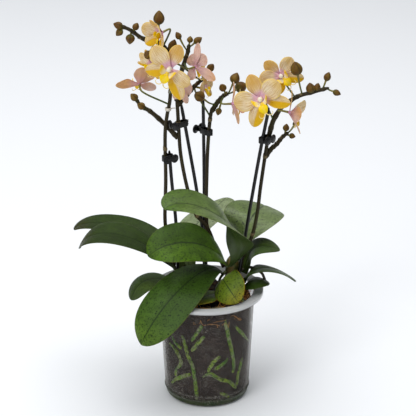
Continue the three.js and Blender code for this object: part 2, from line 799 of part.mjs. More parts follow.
function stadium(radius, span) {
  const outline = new THREE.Shape();
  outline.absarc(span / 2, 0, radius, -Math.PI / 2, Math.PI / 2, false);
  outline.absarc(-span / 2, 0, radius, Math.PI / 2, (3 * Math.PI) / 2, false);
  outline.closePath();
  return outline;
}

// A loop round both rods, with two round finger tabs on a hinge block.
function clip(span, tabs) {
  const inner = SPIKE_RADIUS + CLIP_CLEAR;
  const outline = stadium(inner + CLIP_WALL, span);
  outline.holes.push(stadium(inner, span));
  const loop = new THREE.ExtrudeGeometry(outline, {
    depth: CLIP_HEIGHT,
    bevelEnabled: false,
    curveSegments: 3,
  });
  loop.translate(0, 0, -CLIP_HEIGHT / 2);
  const turn = THREE.MathUtils.degToRad(tabs);
  const reach = inner + CLIP_WALL + (Math.abs(Math.cos(turn)) * span) / 2;
  const block = new THREE.BoxGeometry(3.6, 3.4, CLIP_HEIGHT - 1);
  block.translate(reach + 1.4, 0, 0);
  const parts = [solid(loop), solid(block.rotateZ(turn))];
  for (const side of [-1, 1]) {
    const tab = new THREE.CylinderGeometry(CLIP_TAB_RADIUS, CLIP_TAB_RADIUS, 1.6, 10);
    tab.rotateZ(Math.PI / 2 + side * 0.2);
    tab.translate(reach + 3.2, side * (CLIP_TAB_RADIUS - 0.2), 0.6);
    parts.push(solid(tab.rotateZ(turn)));
  }
  return joined(parts);
}

function addClips() {
  for (const [name, { rods, height, tabs }] of Object.entries(CLIPS)) {
    const [[ax, ay], [bx, by]] = rods;
    const mesh = addPiece(name, clip(Math.hypot(bx - ax, by - ay), tabs), "blackPlastic");
    mesh.position.set((ax + bx) / 2, (ay + by) / 2, height);
    mesh.rotation.z = Math.atan2(by - ay, bx - ax);
  }
}

// A paper-covered wire: wound once round the left spike, with its end on the next spike.
function addTie() {
  const [inner, outer, half] = [SPIKE_RADIUS + 0.6, SPIKE_RADIUS + 1.4, 1.6];
  const ring = revolved([[inner, -half], [outer, -half], [outer, half], [inner, half], [inner, -half]], 12);
  const end = tube([[inner + 0.4, 0.5, 0], [7.3, 2.5, 0]], 0.6, { sides: 5, steps: 1 });
  const mesh = addPiece("tie", solid(ring).add(end), "tie");
  mesh.position.set(-39.9, 12, 317);
}

// ---- plant tag: a blank plastic slip pushed into the bark mix ----

const TAG = { width: 9.5, thick: 0.9, taper: 34, foot: 92, top: 149, place: [33, 26], lean: 11 };

function tagSlip(grow = 0) {
  const half = TAG.width / 2 + grow;
  const slip = new THREE.Shape();
  slip.moveTo(0, -2 * grow);
  slip.lineTo(half, TAG.taper);
  slip.lineTo(half, TAG.top - TAG.foot);
  slip.lineTo(-half, TAG.top - TAG.foot);
  slip.lineTo(-half, TAG.taper);
  const plate = new THREE.ExtrudeGeometry(slip, { depth: TAG.thick + 2 * grow, bevelEnabled: false });
  plate.rotateX(Math.PI / 2);
  plate.translate(0, TAG.thick / 2 + grow, 0);
  plate.rotateY(THREE.MathUtils.degToRad(TAG.lean));
  plate.translate(TAG.place[0], TAG.place[1], TAG.foot);
  return solid(plate);
}

// ---- the whole plant ----

addPot();
addSubstrate();
for (const side of Object.keys(STEMS)) {
  addPiece(`stem_and_roots_${side}`, stemAndRoots(side), "root");
}
addLeaves();
addSpikes();
addBlooms();
for (const [name, points] of Object.entries(STAKES)) {
  addPiece(name, stakeRod(points, STAKE_RADIUS), "blackPlastic");
}
addClips();
addTie();
addPiece("plant_tag", tagSlip(), "tag");

export default orchid;
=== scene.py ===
import math

import bpy
import mathutils
import numpy as np
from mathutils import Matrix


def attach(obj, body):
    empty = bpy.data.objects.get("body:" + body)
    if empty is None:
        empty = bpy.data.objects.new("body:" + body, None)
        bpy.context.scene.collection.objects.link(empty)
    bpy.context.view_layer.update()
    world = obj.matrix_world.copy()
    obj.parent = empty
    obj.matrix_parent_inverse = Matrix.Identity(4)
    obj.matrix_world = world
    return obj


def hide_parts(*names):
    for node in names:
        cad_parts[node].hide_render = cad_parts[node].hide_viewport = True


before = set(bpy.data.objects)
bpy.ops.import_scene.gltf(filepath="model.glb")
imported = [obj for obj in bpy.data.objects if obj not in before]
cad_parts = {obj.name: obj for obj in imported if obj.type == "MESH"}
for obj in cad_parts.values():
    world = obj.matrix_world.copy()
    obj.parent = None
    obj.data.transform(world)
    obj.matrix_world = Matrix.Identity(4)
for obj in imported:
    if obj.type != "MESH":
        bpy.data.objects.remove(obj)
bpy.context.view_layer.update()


# ---- The studio: a pale table and soft window-like light ----
# A plain matt sheet runs under and far behind the pot. One large soft panel hangs above it, a
# smaller one stands at the front left, and the pale surround lights the rest.
def tint(red, green, blue, alpha=1.0):
    """A colour written as 0-255 screen values, turned into the linear values that shaders use."""
    screen = np.array([red, green, blue]) / 255
    linear = np.where(screen <= 0.04045, screen / 12.92, ((screen + 0.055) / 1.055) ** 2.4)
    return (*linear.tolist(), alpha)


def finish(name, colour, roughness=0.5, specular=0.5, glow=(0, 1, 0.2, 0.1)):
    """A new material of one even colour, on which paint, relief and the like then work. Glow is the
    share of light that passes under the surface, and how far its red, green and blue go there."""
    global tree, shader
    material = bpy.data.materials.new(name)
    material.use_nodes = True
    tree = material.node_tree
    shader = tree.nodes["Principled BSDF"]
    shader.inputs["Base Color"].default_value = tint(*colour)
    shader.inputs["Roughness"].default_value = roughness
    shader.inputs["Specular IOR Level"].default_value = specular
    shader.inputs["Subsurface Weight"].default_value = glow[0]
    shader.inputs["Subsurface Radius"].default_value = glow[1:]
    return material


def stand(name, data):
    """A new object in the scene."""
    made = bpy.data.objects.new(name, data)
    bpy.context.scene.collection.objects.link(made)
    return made


camera_aim = np.array([0.0011, 0.0, 0.212])
camera_height_angle = math.radians(22.5)
camera_distance = 1.8
camera = stand("camera", bpy.data.cameras.new("camera"))
camera.data.sensor_width = 36
camera.data.lens = 149.3
camera.data.clip_end = 20
camera.location = camera_aim + camera_distance * np.array(
    [0, -math.cos(camera_height_angle), math.sin(camera_height_angle)]
)
camera.rotation_euler = (math.pi / 2 - camera_height_angle, 0, 0)
bpy.context.scene.camera = camera

table = bpy.data.meshes.new("table")
TABLE_TOP = -0.0005
corners = [(x, y, TABLE_TOP) for x, y in ((-6, -4), (6, -4), (6, 14), (-6, 14))]
table.from_pydata(corners, [], [(0, 1, 2, 3)])
table.materials.append(finish("matt table", (246, 248, 251), 0.9))
stand("table", table)


def panel(name, place, aim, size, power):
    """A square soft light: it stands at place and faces the point aim."""
    light = bpy.data.lights.new(name, "AREA")
    light.size = size
    light.energy = power
    lamp = stand(name, light)
    lamp.location = place
    towards = mathutils.Vector(aim) - mathutils.Vector(place)
    lamp.rotation_euler = towards.to_track_quat("-Z", "Y").to_euler()


panel("overhead panel", (-0.2, 0.3, 2.4), (-0.2, 0.3, 0), 2.8, 62)
panel("key panel", (-0.9, -1.3, 1.5), (0, 0, 0.25), 0.8, 12)

surround = bpy.data.worlds.new("surround")
surround.use_nodes = True
surround.node_tree.nodes["Background"].inputs["Color"].default_value = (0.93, 0.96, 1.0, 1)
surround.node_tree.nodes["Background"].inputs["Strength"].default_value = 0.25
bpy.context.scene.world = surround
bpy.context.scene.view_settings.view_transform = "Standard"


# ---- The pot: a 12 cm grow pot blown from one sheet of clear polypropylene ----
# A thin tapering wall with a ring near its foot, eight drain holes in the base, and a wide
# flat rim with a turned-down edge. Scuffs cloud the plastic, and algae green its foot.
MM = 0.001
POT_HEIGHT, POT_WALL, RIM_DROP = 120, 1.4, 4
POT_FOOT, POT_NECK, POT_RIM = 44.3, 50.6, 60


def pot_radius(z):
    """Outside radius of the wall at a height: it widens fast at the foot and slowly above."""
    return POT_FOOT + (POT_NECK - POT_FOOT) * (np.maximum(z, 0) / (POT_HEIGHT - RIM_DROP)) ** 0.8


def circle(count):
    """Angles evenly spaced once round a circle."""
    return np.linspace(0, 2 * np.pi, count, endpoint=False)


def skin(rings, marks=None, material=0):
    """Joins neighbouring rings of points with quads and closes both ends with a fan of triangles
    round the ring's mean point. The faces are turned so that the enclosed volume is positive."""
    rows, around, _ = rings.shape
    points = np.concatenate([rings.reshape(-1, 3), rings[:1].mean(axis=1), rings[-1:].mean(axis=1)])
    row, col = np.meshgrid(np.arange(rows - 1), np.arange(around), indexing="ij")
    here, beside = row * around + col, row * around + (col + 1) % around
    quads = np.stack([here, beside, beside + around, here + around], axis=-1).reshape(-1, 4)
    ring = np.arange(around)
    after = (ring + 1) % around
    last = (rows - 1) * around
    first_fan = np.stack([after, ring, np.full(around, rows * around)], axis=-1)
    last_fan = np.stack([last + ring, last + after, np.full(around, rows * around + 1)], axis=-1)
    triangles = np.concatenate([quads[:, [0, 1, 2]], quads[:, [0, 2, 3]], first_fan, last_fan])
    a, b, c = (points[triangles[:, i]] for i in range(3))
    if np.einsum("ij,ij->", a, np.cross(b, c)) < 0:
        quads, first_fan, last_fan = quads[:, ::-1], first_fan[:, ::-1], last_fan[:, ::-1]
    marked = {}
    for key, values in (marks or {}).items():
        grid = np.broadcast_to(values, (rows, around))
        marked[key] = np.concatenate([grid.ravel(), [grid[0].mean(), grid[-1].mean()]])
    return {
        "points": points,
        "quads": quads,
        "fans": np.concatenate([first_fan, last_fan]),
        "marks": marked,
        "material": material,
    }


def joined(name, skins):
    """One mesh in metres of several skins in millimetres, and the material number of each face."""
    starts = np.cumsum([0] + [len(s["points"]) for s in skins])
    faces, materials = [], []
    for start, s in zip(starts, skins):
        for group in (s["quads"], s["fans"]):
            faces += (group + start).tolist()
            materials += [s["material"]] * len(group)
    mesh = bpy.data.meshes.new(name)
    mesh.from_pydata(np.concatenate([s["points"] for s in skins]) * MM, [], faces)
    return mesh, materials


def piece(name, skins, finishes, stands_for=()):
    """One object of several skins: it rides on the plant and pot, shows in place of the named
    solids, and keeps each skin's marks as attributes of its points."""
    mesh, materials = joined(name, skins)
    for key in sorted({key for s in skins for key in s["marks"]}):
        values = [s["marks"].get(key, np.zeros(len(s["points"]))) for s in skins]
        layer = mesh.attributes.new(key, "FLOAT", "POINT")
        layer.data.foreach_set("value", np.concatenate(values).astype(np.float32))
    for material in finishes:
        mesh.materials.append(material)
    mesh.polygons.foreach_set("material_index", np.array(materials, dtype=np.int32))
    mesh.shade_smooth()
    made = stand(name, mesh)
    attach(made, "root")
    if stands_for:
        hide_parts(*stands_for)
    return made


def turned(profile, around):
    """A closed profile of (radius, height) points carried round the vertical axis."""
    profile = np.asarray(profile, dtype=float)
    angle = circle(around)
    r, z = profile[:, :1], profile[:, 1:]
    x, y = r * np.cos(angle), r * np.sin(angle)
    return np.stack([x, y, np.broadcast_to(z, x.shape)], axis=-1)


def node(kind, feeds=None, **settings):
    """A shader node: its settings, then each input fed by another node's output or a value."""
    made = tree.nodes.new(kind)
    for key, value in settings.items():
        setattr(made, key, value)
    for key, value in (feeds or {}).items():
        if isinstance(value, bpy.types.NodeSocket):
            tree.links.new(value, made.inputs[key])
        else:
            made.inputs[key].default_value = value
    return made


def place(scale=(1, 1, 1)):
    """Object coordinates in metres, stretched by scale."""
    spot = node("ShaderNodeTexCoord").outputs["Object"]
    return node("ShaderNodeMapping", {"Vector": spot, "Scale": scale}).outputs["Vector"]


def grain(spot, scale, detail=4.0, roughness=0.55):
    """Cloudy noise from 0 to 1, so many blobs to the metre."""
    feeds = {"Vector": spot, "Scale": scale, "Detail": detail, "Roughness": roughness}
    return node("ShaderNodeTexNoise", feeds).outputs["Fac"]


def dots(spot, scale):
    """The distance from the nearest of many strewn points, so many to the metre."""
    return node("ShaderNodeTexVoronoi", {"Vector": spot, "Scale": scale}).outputs["Distance"]


def step(value, low, high, out_low=0.0, out_high=1.0):
    """A smooth step of the value from low to high."""
    feeds = {"Value": value, "From Min": low, "From Max": high, "To Min": out_low, "To Max": out_high}
    return node("ShaderNodeMapRange", feeds, interpolation_type="SMOOTHSTEP").outputs["Result"]


def reckon(how, a, b=0.0):
    """A value worked out from one or two others: MAXIMUM, ABSOLUTE and so on."""
    return node("ShaderNodeMath", {0: a, 1: b}, operation=how).outputs["Value"]


def times(a, b):
    """The product of two values."""
    return reckon("MULTIPLY", a, b)


def plus(a, b):
    """The sum of two values."""
    return reckon("ADD", a, b)


def blend(share, under, over):
    """The colour under, covered by the colour over by that share."""
    made = node("ShaderNodeMix", data_type="RGBA")
    for key, value in (("Factor", share), ("A", under), ("B", over)):
        socket = next(s for s in made.inputs if s.name == key and s.enabled)
        if isinstance(value, bpy.types.NodeSocket):
            tree.links.new(value, socket)
        else:
            socket.default_value = tint(*value)
    return next(s for s in made.outputs if s.enabled)


def coats(colour, *over):
    """A colour under several coats, each given as its share and its own colour."""
    for share, coat in over:
        colour = blend(share, colour, coat)
    return colour


def paint(value, socket="Base Color"):
    """Feeds one socket of the finish."""
    tree.links.new(value, shader.inputs[socket])


def relief(height, depth, strength=1.0):
    """Raises the surface's shading by height times depth in metres."""
    feeds = {"Height": height, "Distance": depth, "Strength": strength}
    paint(node("ShaderNodeBump", feeds).outputs["Normal"], "Normal")


wall_heights = np.linspace(11, POT_HEIGHT - RIM_DROP, 30)
pot_outside = [(pot_radius(z), z) for z in wall_heights]
pot_inside = [(pot_radius(z) - POT_WALL, z) for z in wall_heights[::-1]]
RING_HEIGHT = 8.5
ring_radius = pot_radius(RING_HEIGHT)
foot_curve = np.radians(np.linspace(-90, 0, 7))
pot_profile = (
    [(r, 0) for r in (2, 12, 22, 27.8, 34.2, 38)]
    + [(POT_FOOT - 4 + 4 * np.cos(a), 4 + 4 * np.sin(a)) for a in foot_curve]
    + [(ring_radius + 0.1, 7.3), (ring_radius + 0.8, 7.9), (ring_radius + 0.9, 8.6), (ring_radius + 0.3, 9.4)]
    + pot_outside
    + [(POT_NECK + 0.5, 117.6), (POT_NECK + 1.6, 118.5), (POT_RIM - 1.6, 118.6), (POT_RIM - 1.05, 118.1)]
    + [(POT_RIM - 0.95, 116.2), (POT_RIM - 0.5, 116), (POT_RIM - 0.05, 116.4)]
    + [(POT_RIM, 118.9), (POT_RIM - 0.35, 119.7), (POT_RIM - 1.2, 120), (POT_NECK + 1.0, 120)]
    + [(POT_NECK - 0.1, 119.6), (POT_NECK - POT_WALL + 0.2, 118.4)]
    + pot_inside
    + [(ring_radius - POT_WALL, RING_HEIGHT), (POT_FOOT - POT_WALL, 4.2)]
    + [(POT_FOOT - 2.6, 2.2), (POT_FOOT - 5, 1.5)]
    + [(r, 1.4) for r in (34.2, 27.8, 22, 12, 2)]
)
pot_rings = turned(pot_profile, 144)

clear_plastic = finish("clear scuffed plastic", (205, 208, 207), 0.3, specular=0.3)
spot = place()
height = node("ShaderNodeSeparateXYZ", {"Vector": spot}).outputs["Z"]
rim_share = step(height, 0.1155, 0.1175)
foot_share = step(height, 0.0105, 0.006)
ring_share = times(step(height, 0.0105, 0.0115), step(height, 0.0135, 0.0122))
scuffs = grain(place((1, 1, 0.35)), 260, 8, 0.7)
scratches = grain(place((1, 1, 0.06)), 900, 3, 0.5)
cloud = grain(spot, 45, 5, 0.6)
dust = times(step(dots(spot, 720.0), 0.3, 0.16), step(cloud, 0.4, 0.62, 0.12, 0.75))
edge = node("ShaderNodeLayerWeight", {"Blend": 0.35}).outputs["Facing"]
algae = blend(step(cloud, 0.42, 0.62), (56, 66, 34), (30, 54, 6))
wall_tint, rim_tint, dust_tint = (124, 120, 112), (212, 213, 213), (176, 170, 160)
paint(coats(wall_tint, (foot_share, algae), (rim_share, rim_tint), (dust, dust_tint)))
film = plus(dust, 0.02)
for haze in (
    times(step(scuffs, 0.52, 0.78), 0.16),
    times(step(scratches, 0.62, 0.72), 0.12),
    times(step(edge, 0.35, 0.9), step(scuffs, 0.35, 0.65, 0.4, 0.85)),
    times(foot_share, 0.8),
    times(ring_share, 0.3),
):
    film = plus(film, haze)
paint(reckon("MAXIMUM", film, times(rim_share, 0.9)), "Alpha")
relief(scuffs, 0.0002, 0.4)

pot = piece("grow_pot", [skin(pot_rings)], [clear_plastic], ["pot"])
HOLES, HOLE_RADIUS, HOLES_OUT = 8, 3.2, 31
bit = turned([(HOLE_RADIUS, -3), (HOLE_RADIUS, 6)], 24)
bits = [skin(bit + [HOLES_OUT * np.cos(a), HOLES_OUT * np.sin(a), 0]) for a in circle(HOLES)]
drill = stand("drill", joined("drill", bits)[0])
cut = pot.modifiers.new("drain holes", "BOOLEAN")
cut.operation = "DIFFERENCE"
cut.solver = "EXACT"
cut.object = drill
bpy.context.view_layer.update()
drilled = bpy.data.meshes.new_from_object(pot.evaluated_get(bpy.context.evaluated_depsgraph_get()))
pot.modifiers.clear()
pot.data = drilled
pot.data.shade_smooth()
bpy.data.objects.remove(drill)


# ---- The bark mix: fine bark, peat and coir pressed into the pot ----
# A dark damp fill that shows through the clear wall, lumpy on top, with loose bark chips, dry
# coir fibres and crumbs of moss strewn over it.
SOIL_TOP = 108
chance = np.random.default_rng(12)


def lumps(x, y, z, size, seed, layers=4):
    """A sum of crossed sine waves in fixed random directions, each layer half as long and half
    as high as the one before. Values run from about -1 to 1."""
    draw = np.random.default_rng(seed)
    total = np.zeros(np.broadcast(x, y, z).shape)
    for layer in range(layers):
        for _ in range(5):
            direction = draw.normal(size=3)
            direction *= 2 * np.pi * 2**layer / size / np.linalg.norm(direction)
            wave = x * direction[0] + y * direction[1] + z * direction[2]
            total += np.sin(wave + draw.uniform(0, 2 * np.pi)) / 2**layer / 4
    return total


def bank(x, y):
    """How much higher the mix stands against the wall: up to 8.5 mm, at the front and right."""
    reach = np.clip((np.hypot(x, y) - 26) / 20, 0, 1) ** 1.2
    return 8.5 * reach * (0.5 + 0.5 * np.cos(np.arctan2(y, x) + np.radians(65))) ** 0.6


base_r, base_z = [0.05, 20, 34.92], [2, 2, 2.1]
side_z = np.linspace(3, SOIL_TOP - 3, 90)
side_r = pot_radius(side_z) - POT_WALL - 1.6
top_share = np.linspace(1, 0.02, 50)
top_r = (pot_radius(SOIL_TOP) - 4.2) * top_share
mix_r = np.concatenate([base_r, side_r, top_r])
mix_z = np.concatenate([base_z, side_z, np.full(len(top_r), SOIL_TOP - 0.5)])
mix = turned(np.stack([mix_r, mix_z], axis=-1), 220)
top_start = len(base_r) + len(side_r)
on_side = np.zeros(len(mix_r))
on_side[len(base_r) : top_start] = 1
rough = lumps(mix[..., 0], mix[..., 1], mix[..., 2], 14, 3)
fine = lumps(mix[..., 0], mix[..., 1], mix[..., 2], 4, 5, 3)
from_axis = np.maximum(np.hypot(mix[..., 0], mix[..., 1]), 1)
mix[..., :2] *= (1 + on_side[:, None] * (0.5 * rough + 0.35 * fine) / from_axis)[..., None]
top = mix[top_start:]
top[..., 2] += (1.5 * rough + 0.6 * fine)[top_start:] + bank(top[..., 0], top[..., 1])
top[..., 2] -= 1.5 * np.clip(top_share - 0.93, 0, 1)[:, None] / 0.07

bark_mix = finish("damp bark mix", (58, 48, 44), 0.9)
spot = place()
crumbs = grain(spot, 900, 6, 0.65)
paint(coats(
    blend(step(grain(spot, 120, 4, 0.6), 0.35, 0.7), (40, 31, 28), (64, 52, 47)),
    (step(crumbs, 0.5, 0.62), (38, 30, 27)),
    (step(dots(spot, 420), 0.2, 0.1), (140, 128, 112)),
))
relief(crumbs, 0.0012)
piece("bark_fill", [skin(mix)], [bark_mix], ["bark_mix"])


def nugget(centre, size, flat, seed):
    """A small rough lump: a ball of seven sides whose points are each pushed in or out at random,
    pressed flat and turned any way."""
    draw = np.random.default_rng(seed)
    polar = np.radians([28, 62, 100, 140])[:, None]
    angle = circle(7) + draw.uniform(0, 6)
    across = np.sin(polar)
    ball = np.stack([across * np.cos(angle), across * np.sin(angle), np.cos(polar) + 0 * angle], -1)
    ball *= draw.uniform(0.75, 1.2, ball.shape[:2])[..., None] * size / 2
    ball *= np.array([1, draw.uniform(0.45, 0.8), flat])
    turn = np.linalg.qr(np.eye(3) + draw.normal(size=(3, 3)) * 0.45)[0]
    return skin(ball @ turn.T + centre)


def on_the_mix(count, inner, outer, seed, arc=(0, 360)):
    """Points strewn over the top of the mix between two radii, within an arc."""
    draw = np.random.default_rng(seed)
    radius = np.sqrt(draw.uniform(inner**2, outer**2, count))
    angle = np.radians(draw.uniform(*arc, count))
    x, y = radius * np.cos(angle), radius * np.sin(angle)
    return np.stack([x, y, SOIL_TOP + 0.4 + bank(x, y)], axis=-1)


bark_chip = finish("bark chip", (70, 46, 30), 0.85)
fibre = grain(place((1, 0.25, 1)), 700, 5)
stripes = blend(fibre, (38, 25, 18), (104, 70, 44))
paint(coats(stripes, (step(grain(place(), 60), 0.55, 0.65), (128, 96, 60))))
relief(fibre, 0.0006)
CHIPS, CRUMBS = 230, 260
chip_spots, chip_sizes = on_the_mix(CHIPS, 3, 45, 21), chance.uniform(2.2, 6.5, CHIPS)
chips = [nugget(c, s, 0.45, i) for i, (c, s) in enumerate(zip(chip_spots, chip_sizes))]
piece("bark_chips", chips, [bark_chip])

moss = finish("dry moss crumb", (128, 118, 84), 0.95)
fluff = grain(place(), 1400, 6)
paint(blend(fluff, (84, 84, 56), (166, 150, 118)))
relief(fluff, 0.0008)
moss_spots = on_the_mix(CRUMBS, 36, 46.5, 31, (225, 292)) + [0, 0, 0.8]
moss_sizes = chance.uniform(1.0, 2.8, CRUMBS)
crumb_skins = [nugget(c, s, 0.8, 900 + i) for i, (c, s) in enumerate(zip(moss_spots, moss_sizes))]
piece("moss_crumbs", crumb_skins, [moss])


def smooth_line(points, steps):
    """A centripetal Catmull-Rom curve through the points: between two points it follows the cubic
    whose end slopes come from their neighbours, weighted by the root of the distances."""
    p = np.asarray(points, dtype=float)
    p = np.concatenate([[2 * p[0] - p[1]], p, [2 * p[-1] - p[-2]]])
    gap = np.maximum(np.linalg.norm(np.diff(p, axis=0), axis=1), 1e-6) ** 0.5
    spans = len(p) - 3
    t = np.linspace(0, spans, steps)
    i = np.minimum(t.astype(int), spans - 1)
    w = (t - i)[:, None]
    d0, d1, d2 = (gap[i + k][:, None] for k in range(3))
    p0, p1, p2, p3 = (p[i + k] for k in range(4))
    m1 = ((p1 - p0) / d0 - (p2 - p0) / (d0 + d1) + (p2 - p1) / d1) * d1
    m2 = ((p2 - p1) / d1 - (p3 - p1) / (d1 + d2) + (p3 - p2) / d2) * d1
    return (
        (2 * w**3 - 3 * w**2 + 1) * p1 + (w**3 - 2 * w**2 + w) * m1
        + (3 * w**2 - 2 * w**3) * p2 + (w**3 - w**2) * m2
    )


def unit(vectors):
    """The vectors, each divided by its length."""
    return vectors / np.linalg.norm(vectors, axis=-1, keepdims=True)


def rod(points, radius, sides=12, steps=None, marks=None, material=0, round_end=False):
    """A round section carried along a smooth line. The radius may change along the line, and the
    section's axes are square to the line and to the world axis that the line least follows."""
    line = smooth_line(points, steps or 6 * len(points))
    along = np.linspace(0, 1, len(line))
    tangent = unit(np.gradient(line, axis=0))
    reference = np.eye(3)[np.abs(tangent).max(axis=0).argmin()]
    across = unit(np.cross(tangent, reference))
    upward = np.cross(across, tangent)
    width = radius(along) if callable(radius) else np.full(len(line), float(radius))
    if round_end:
        width = width * np.sqrt(np.clip(1 - np.clip((along - 0.94) / 0.065, 0, 1) ** 2, 0.02, 1))
    angle = circle(sides)[:, None]
    ring = np.cos(angle) * across[:, None] + np.sin(angle) * upward[:, None]
    rings = line[:, None] + width[:, None, None] * ring
    return skin(rings, {"along": along[:, None], **(marks or {})}, material)


coir = finish("dry coir fibre", (176, 112, 52), 0.7)
paint(blend(grain(place(), 300), (182, 112, 40), (228, 170, 96)))
FIBRE_REACH = 47.2
front_right, right = on_the_mix(46, 30, 46.5, 41, (245, 350)), on_the_mix(60, 34, 47, 45, (-30, 35))
fibres = []
for start in np.concatenate([front_right, right, on_the_mix(26, 5, 44, 43)]):
    bend = chance.normal(0, 4.5, (2, 3)) * [1, 1, 0.35]
    way = chance.normal(0, 1, 3) * [1, 1, 0.3]
    way *= chance.uniform(5, 13) / np.linalg.norm(way)
    line = start + [0, 0, 1.6] + np.stack([0 * way, 0.4 * way + bend[0] * 0.4, way])
    reach = np.hypot(line[:, 0], line[:, 1])[:, None]
    line[:, :2] *= np.minimum(1, FIBRE_REACH / reach)
    fibres.append(rod(line, 0.22, 4, 9))
for _ in range(20):
    turn = np.radians(chance.uniform(-22, 50)) + np.array([0, 1, 2]) * chance.normal(0, 0.06)
    fall = chance.triangular(95, 107, 108) - np.array([0, 0.5, 1]) * chance.uniform(-2, 7)
    fall += chance.normal(0, 0.9, 3)
    reach = pot_radius(fall) - POT_WALL - 0.55
    line = np.stack([reach * np.sin(turn), -reach * np.cos(turn), fall], axis=-1)
    fibres.append(rod(line, 0.17, 4, 9))
piece("coir_fibres", fibres, [coir])


# ---- Stems and roots: the living axis of each of the two plants ----
# A short thick stem stands in the mix. Its roots run out to the wall and follow it down, green
# where light reaches them, with a silvery skin. A few old ones arch over the mix and the rim.
STEMS = {
    "right": {"base": (27, 8), "radius": 8, "top": 152, "swing": 10},
    "left": {"base": (-22, 18), "radius": 7, "top": 134, "swing": -4},
}
WALL_ROOTS = {
    "left": [
        [(-36, 85), (-31, 73), (-26, 59), (-20, 48), (-18, 36), (-16, 23), (-15, 6)],
        [(-73, 66), (-51, 64), (-41, 56), (-38, 50), (-48, 37), (-51, 29)],
        [(-56, 77), (-47, 71), (-36, 66)],
        [(-7, 98), (-14, 88), (-21, 78)],
        [(-4, 86), (-13, 76), (-21, 66)],
        [(-73, 14), (-49, 26), (-31, 35), (-23, 38)],
        [(-140, 80), (-128, 55), (-132, 28), (-124, 10)],
        [(-168, 92), (-176, 62), (-166, 34)],
    ],
    "right": [
        [(25, 104), (28, 88), (35, 65), (40, 46), (39, 36)],
        [(41, 94), (56, 78), (88, 56)],
        [(-8, 36), (4, 40), (19, 32), (33, 27), (48, 15)],
        [(2, 43), (9, 54), (18, 61)],
        [(32, 57), (23, 51), (11, 45)],
        [(58, 54), (55, 44), (50, 33), (48, 18)],
        [(17, 18), (28, 11), (35, 7)],
        [(118, 88), (126, 60), (117, 34), (122, 12)],
        [(152, 84), (146, 52), (154, 30)],
    ],
}
ROOT_RADIUS = 2.3


def wall_line(stops):
    """Points against the inside of the wall, from degrees round from the front and heights. The
    first lies a little deeper, where the root turns down along the wall."""
    turn, z = np.radians([s[0] for s in stops]), np.array([s[1] for s in stops], dtype=float)
    inset = np.where(np.arange(len(stops)) == 0, 2.2, 0.1)
    reach = pot_radius(z) - POT_WALL - ROOT_RADIUS - 0.1 - inset
    return np.stack([reach * np.sin(turn), -reach * np.cos(turn), z], axis=-1)


def mark(name):
    """The value that a piece's points carry under that name."""
    return node("ShaderNodeAttribute", attribute_name=name).outputs["Fac"]


root_skin = finish("root skin", (98, 128, 62), 0.55)
spot = place()
silver = grain(place((1, 1, 0.5)), 260, 5, 0.6)
paint(coats(
    blend(step(grain(spot, 60), 0.35, 0.65), (70, 120, 2), (128, 156, 30)),
    (step(silver, 0.46, 0.62, 0, 0.85), (138, 146, 100)),
    (step(grain(spot, 420, 4, 0.7), 0.48, 0.56, 0, 0.8), (36, 46, 18)),
    (mark("old"), blend(silver, (52, 44, 32), (120, 112, 96))),
))
relief(silver, 0.0005)

stem_skin = finish("leafy stem", (84, 88, 44), 0.5)
husk = grain(place((1, 1, 0.2)), 240, 4)
paint(blend(step(husk, 0.4, 0.62), (74, 84, 34), (112, 92, 48)))
relief(husk, 0.0008)

AERIAL_ROOTS = {
    "right": [
        ([(33, 8, 136), (46, 9, 140), (58, 8, 134), (62.5, 7, 124)], 1.7, 1.0),
        ([(27, -2, 124), (33, -12, 124), (37, -22, 119), (38, -27, 111)], 1.6, 0.35),
        ([(20, 3, 138), (14, -6, 134), (12, -13, 126), (14, -17, 112)], 1.5, 0.6),
    ],
    "left": [([(-28, 14, 120), (-36, 4, 121), (-41, -7, 116), (-40, -13, 110)], 1.7, 0.5)],
}
for side, stem in STEMS.items():
    x, y = stem["base"]
    radius, top = stem["radius"], stem["top"]
    collar_z = np.linspace(0, 1, 26)
    heights = 84 + (top - 83) * collar_z
    collars = 1 + 0.05 * np.abs(np.sin(np.pi * (heights - 84) / 11))
    girth = radius * collars * np.sqrt(np.clip(1 - ((collar_z - 0.45) / 0.57) ** 6, 0.05, 1))
    stem_rings = turned(np.stack([girth * 0.96, heights], axis=-1), 28) + [x, y, 0]
    skins = [skin(stem_rings, {"old": 0.0}, 1)]
    for stops in WALL_ROOTS[side]:
        wall = wall_line(stops)
        first = wall[0]
        level = np.clip(first[2] / 2 + 43, first[2] + 3, SOIL_TOP - 6)
        between = [(x + first[0]) / 2 + stem["swing"], (y + first[1]) / 2, level]
        knots = lambda t: ROOT_RADIUS * (1 + 0.07 * np.sin(21 * t) * np.sin(9 * t + 1))
        line = [(x, y, SOIL_TOP - 12), between, *wall]
        skins.append(rod(line, knots, 12, 70, {"old": 0.0}, 0, True))
    for line, thickness, age in AERIAL_ROOTS[side]:
        skins.append(rod(line, lambda t: thickness * (1 - 0.15 * t), 12, 40, {"old": age}, 0, True))
    piece(f"stem_roots_{side}", skins, [root_skin, stem_skin], [f"stem_and_roots_{side}"])


# ---- Leaves: thick, waxy, strap-shaped, folded along a sunken midrib ----
# Each clasps its stem with a narrow foot, arches out along a smooth line and curls down a little
# at its edges. Fine lengthwise veins and dark freckles show in the green; the undersides are painted dark as
# shade.
def bezier(path, t):
    """The cubic curve of four control points: each is weighted by its Bernstein polynomial."""
    a, b, c, d = (np.asarray(p, dtype=float) for p in path)
    s = t[:, None]
    return (1 - s) ** 3 * a + 3 * (1 - s) ** 2 * s * b + 3 * (1 - s) * s**2 * c + s**3 * d


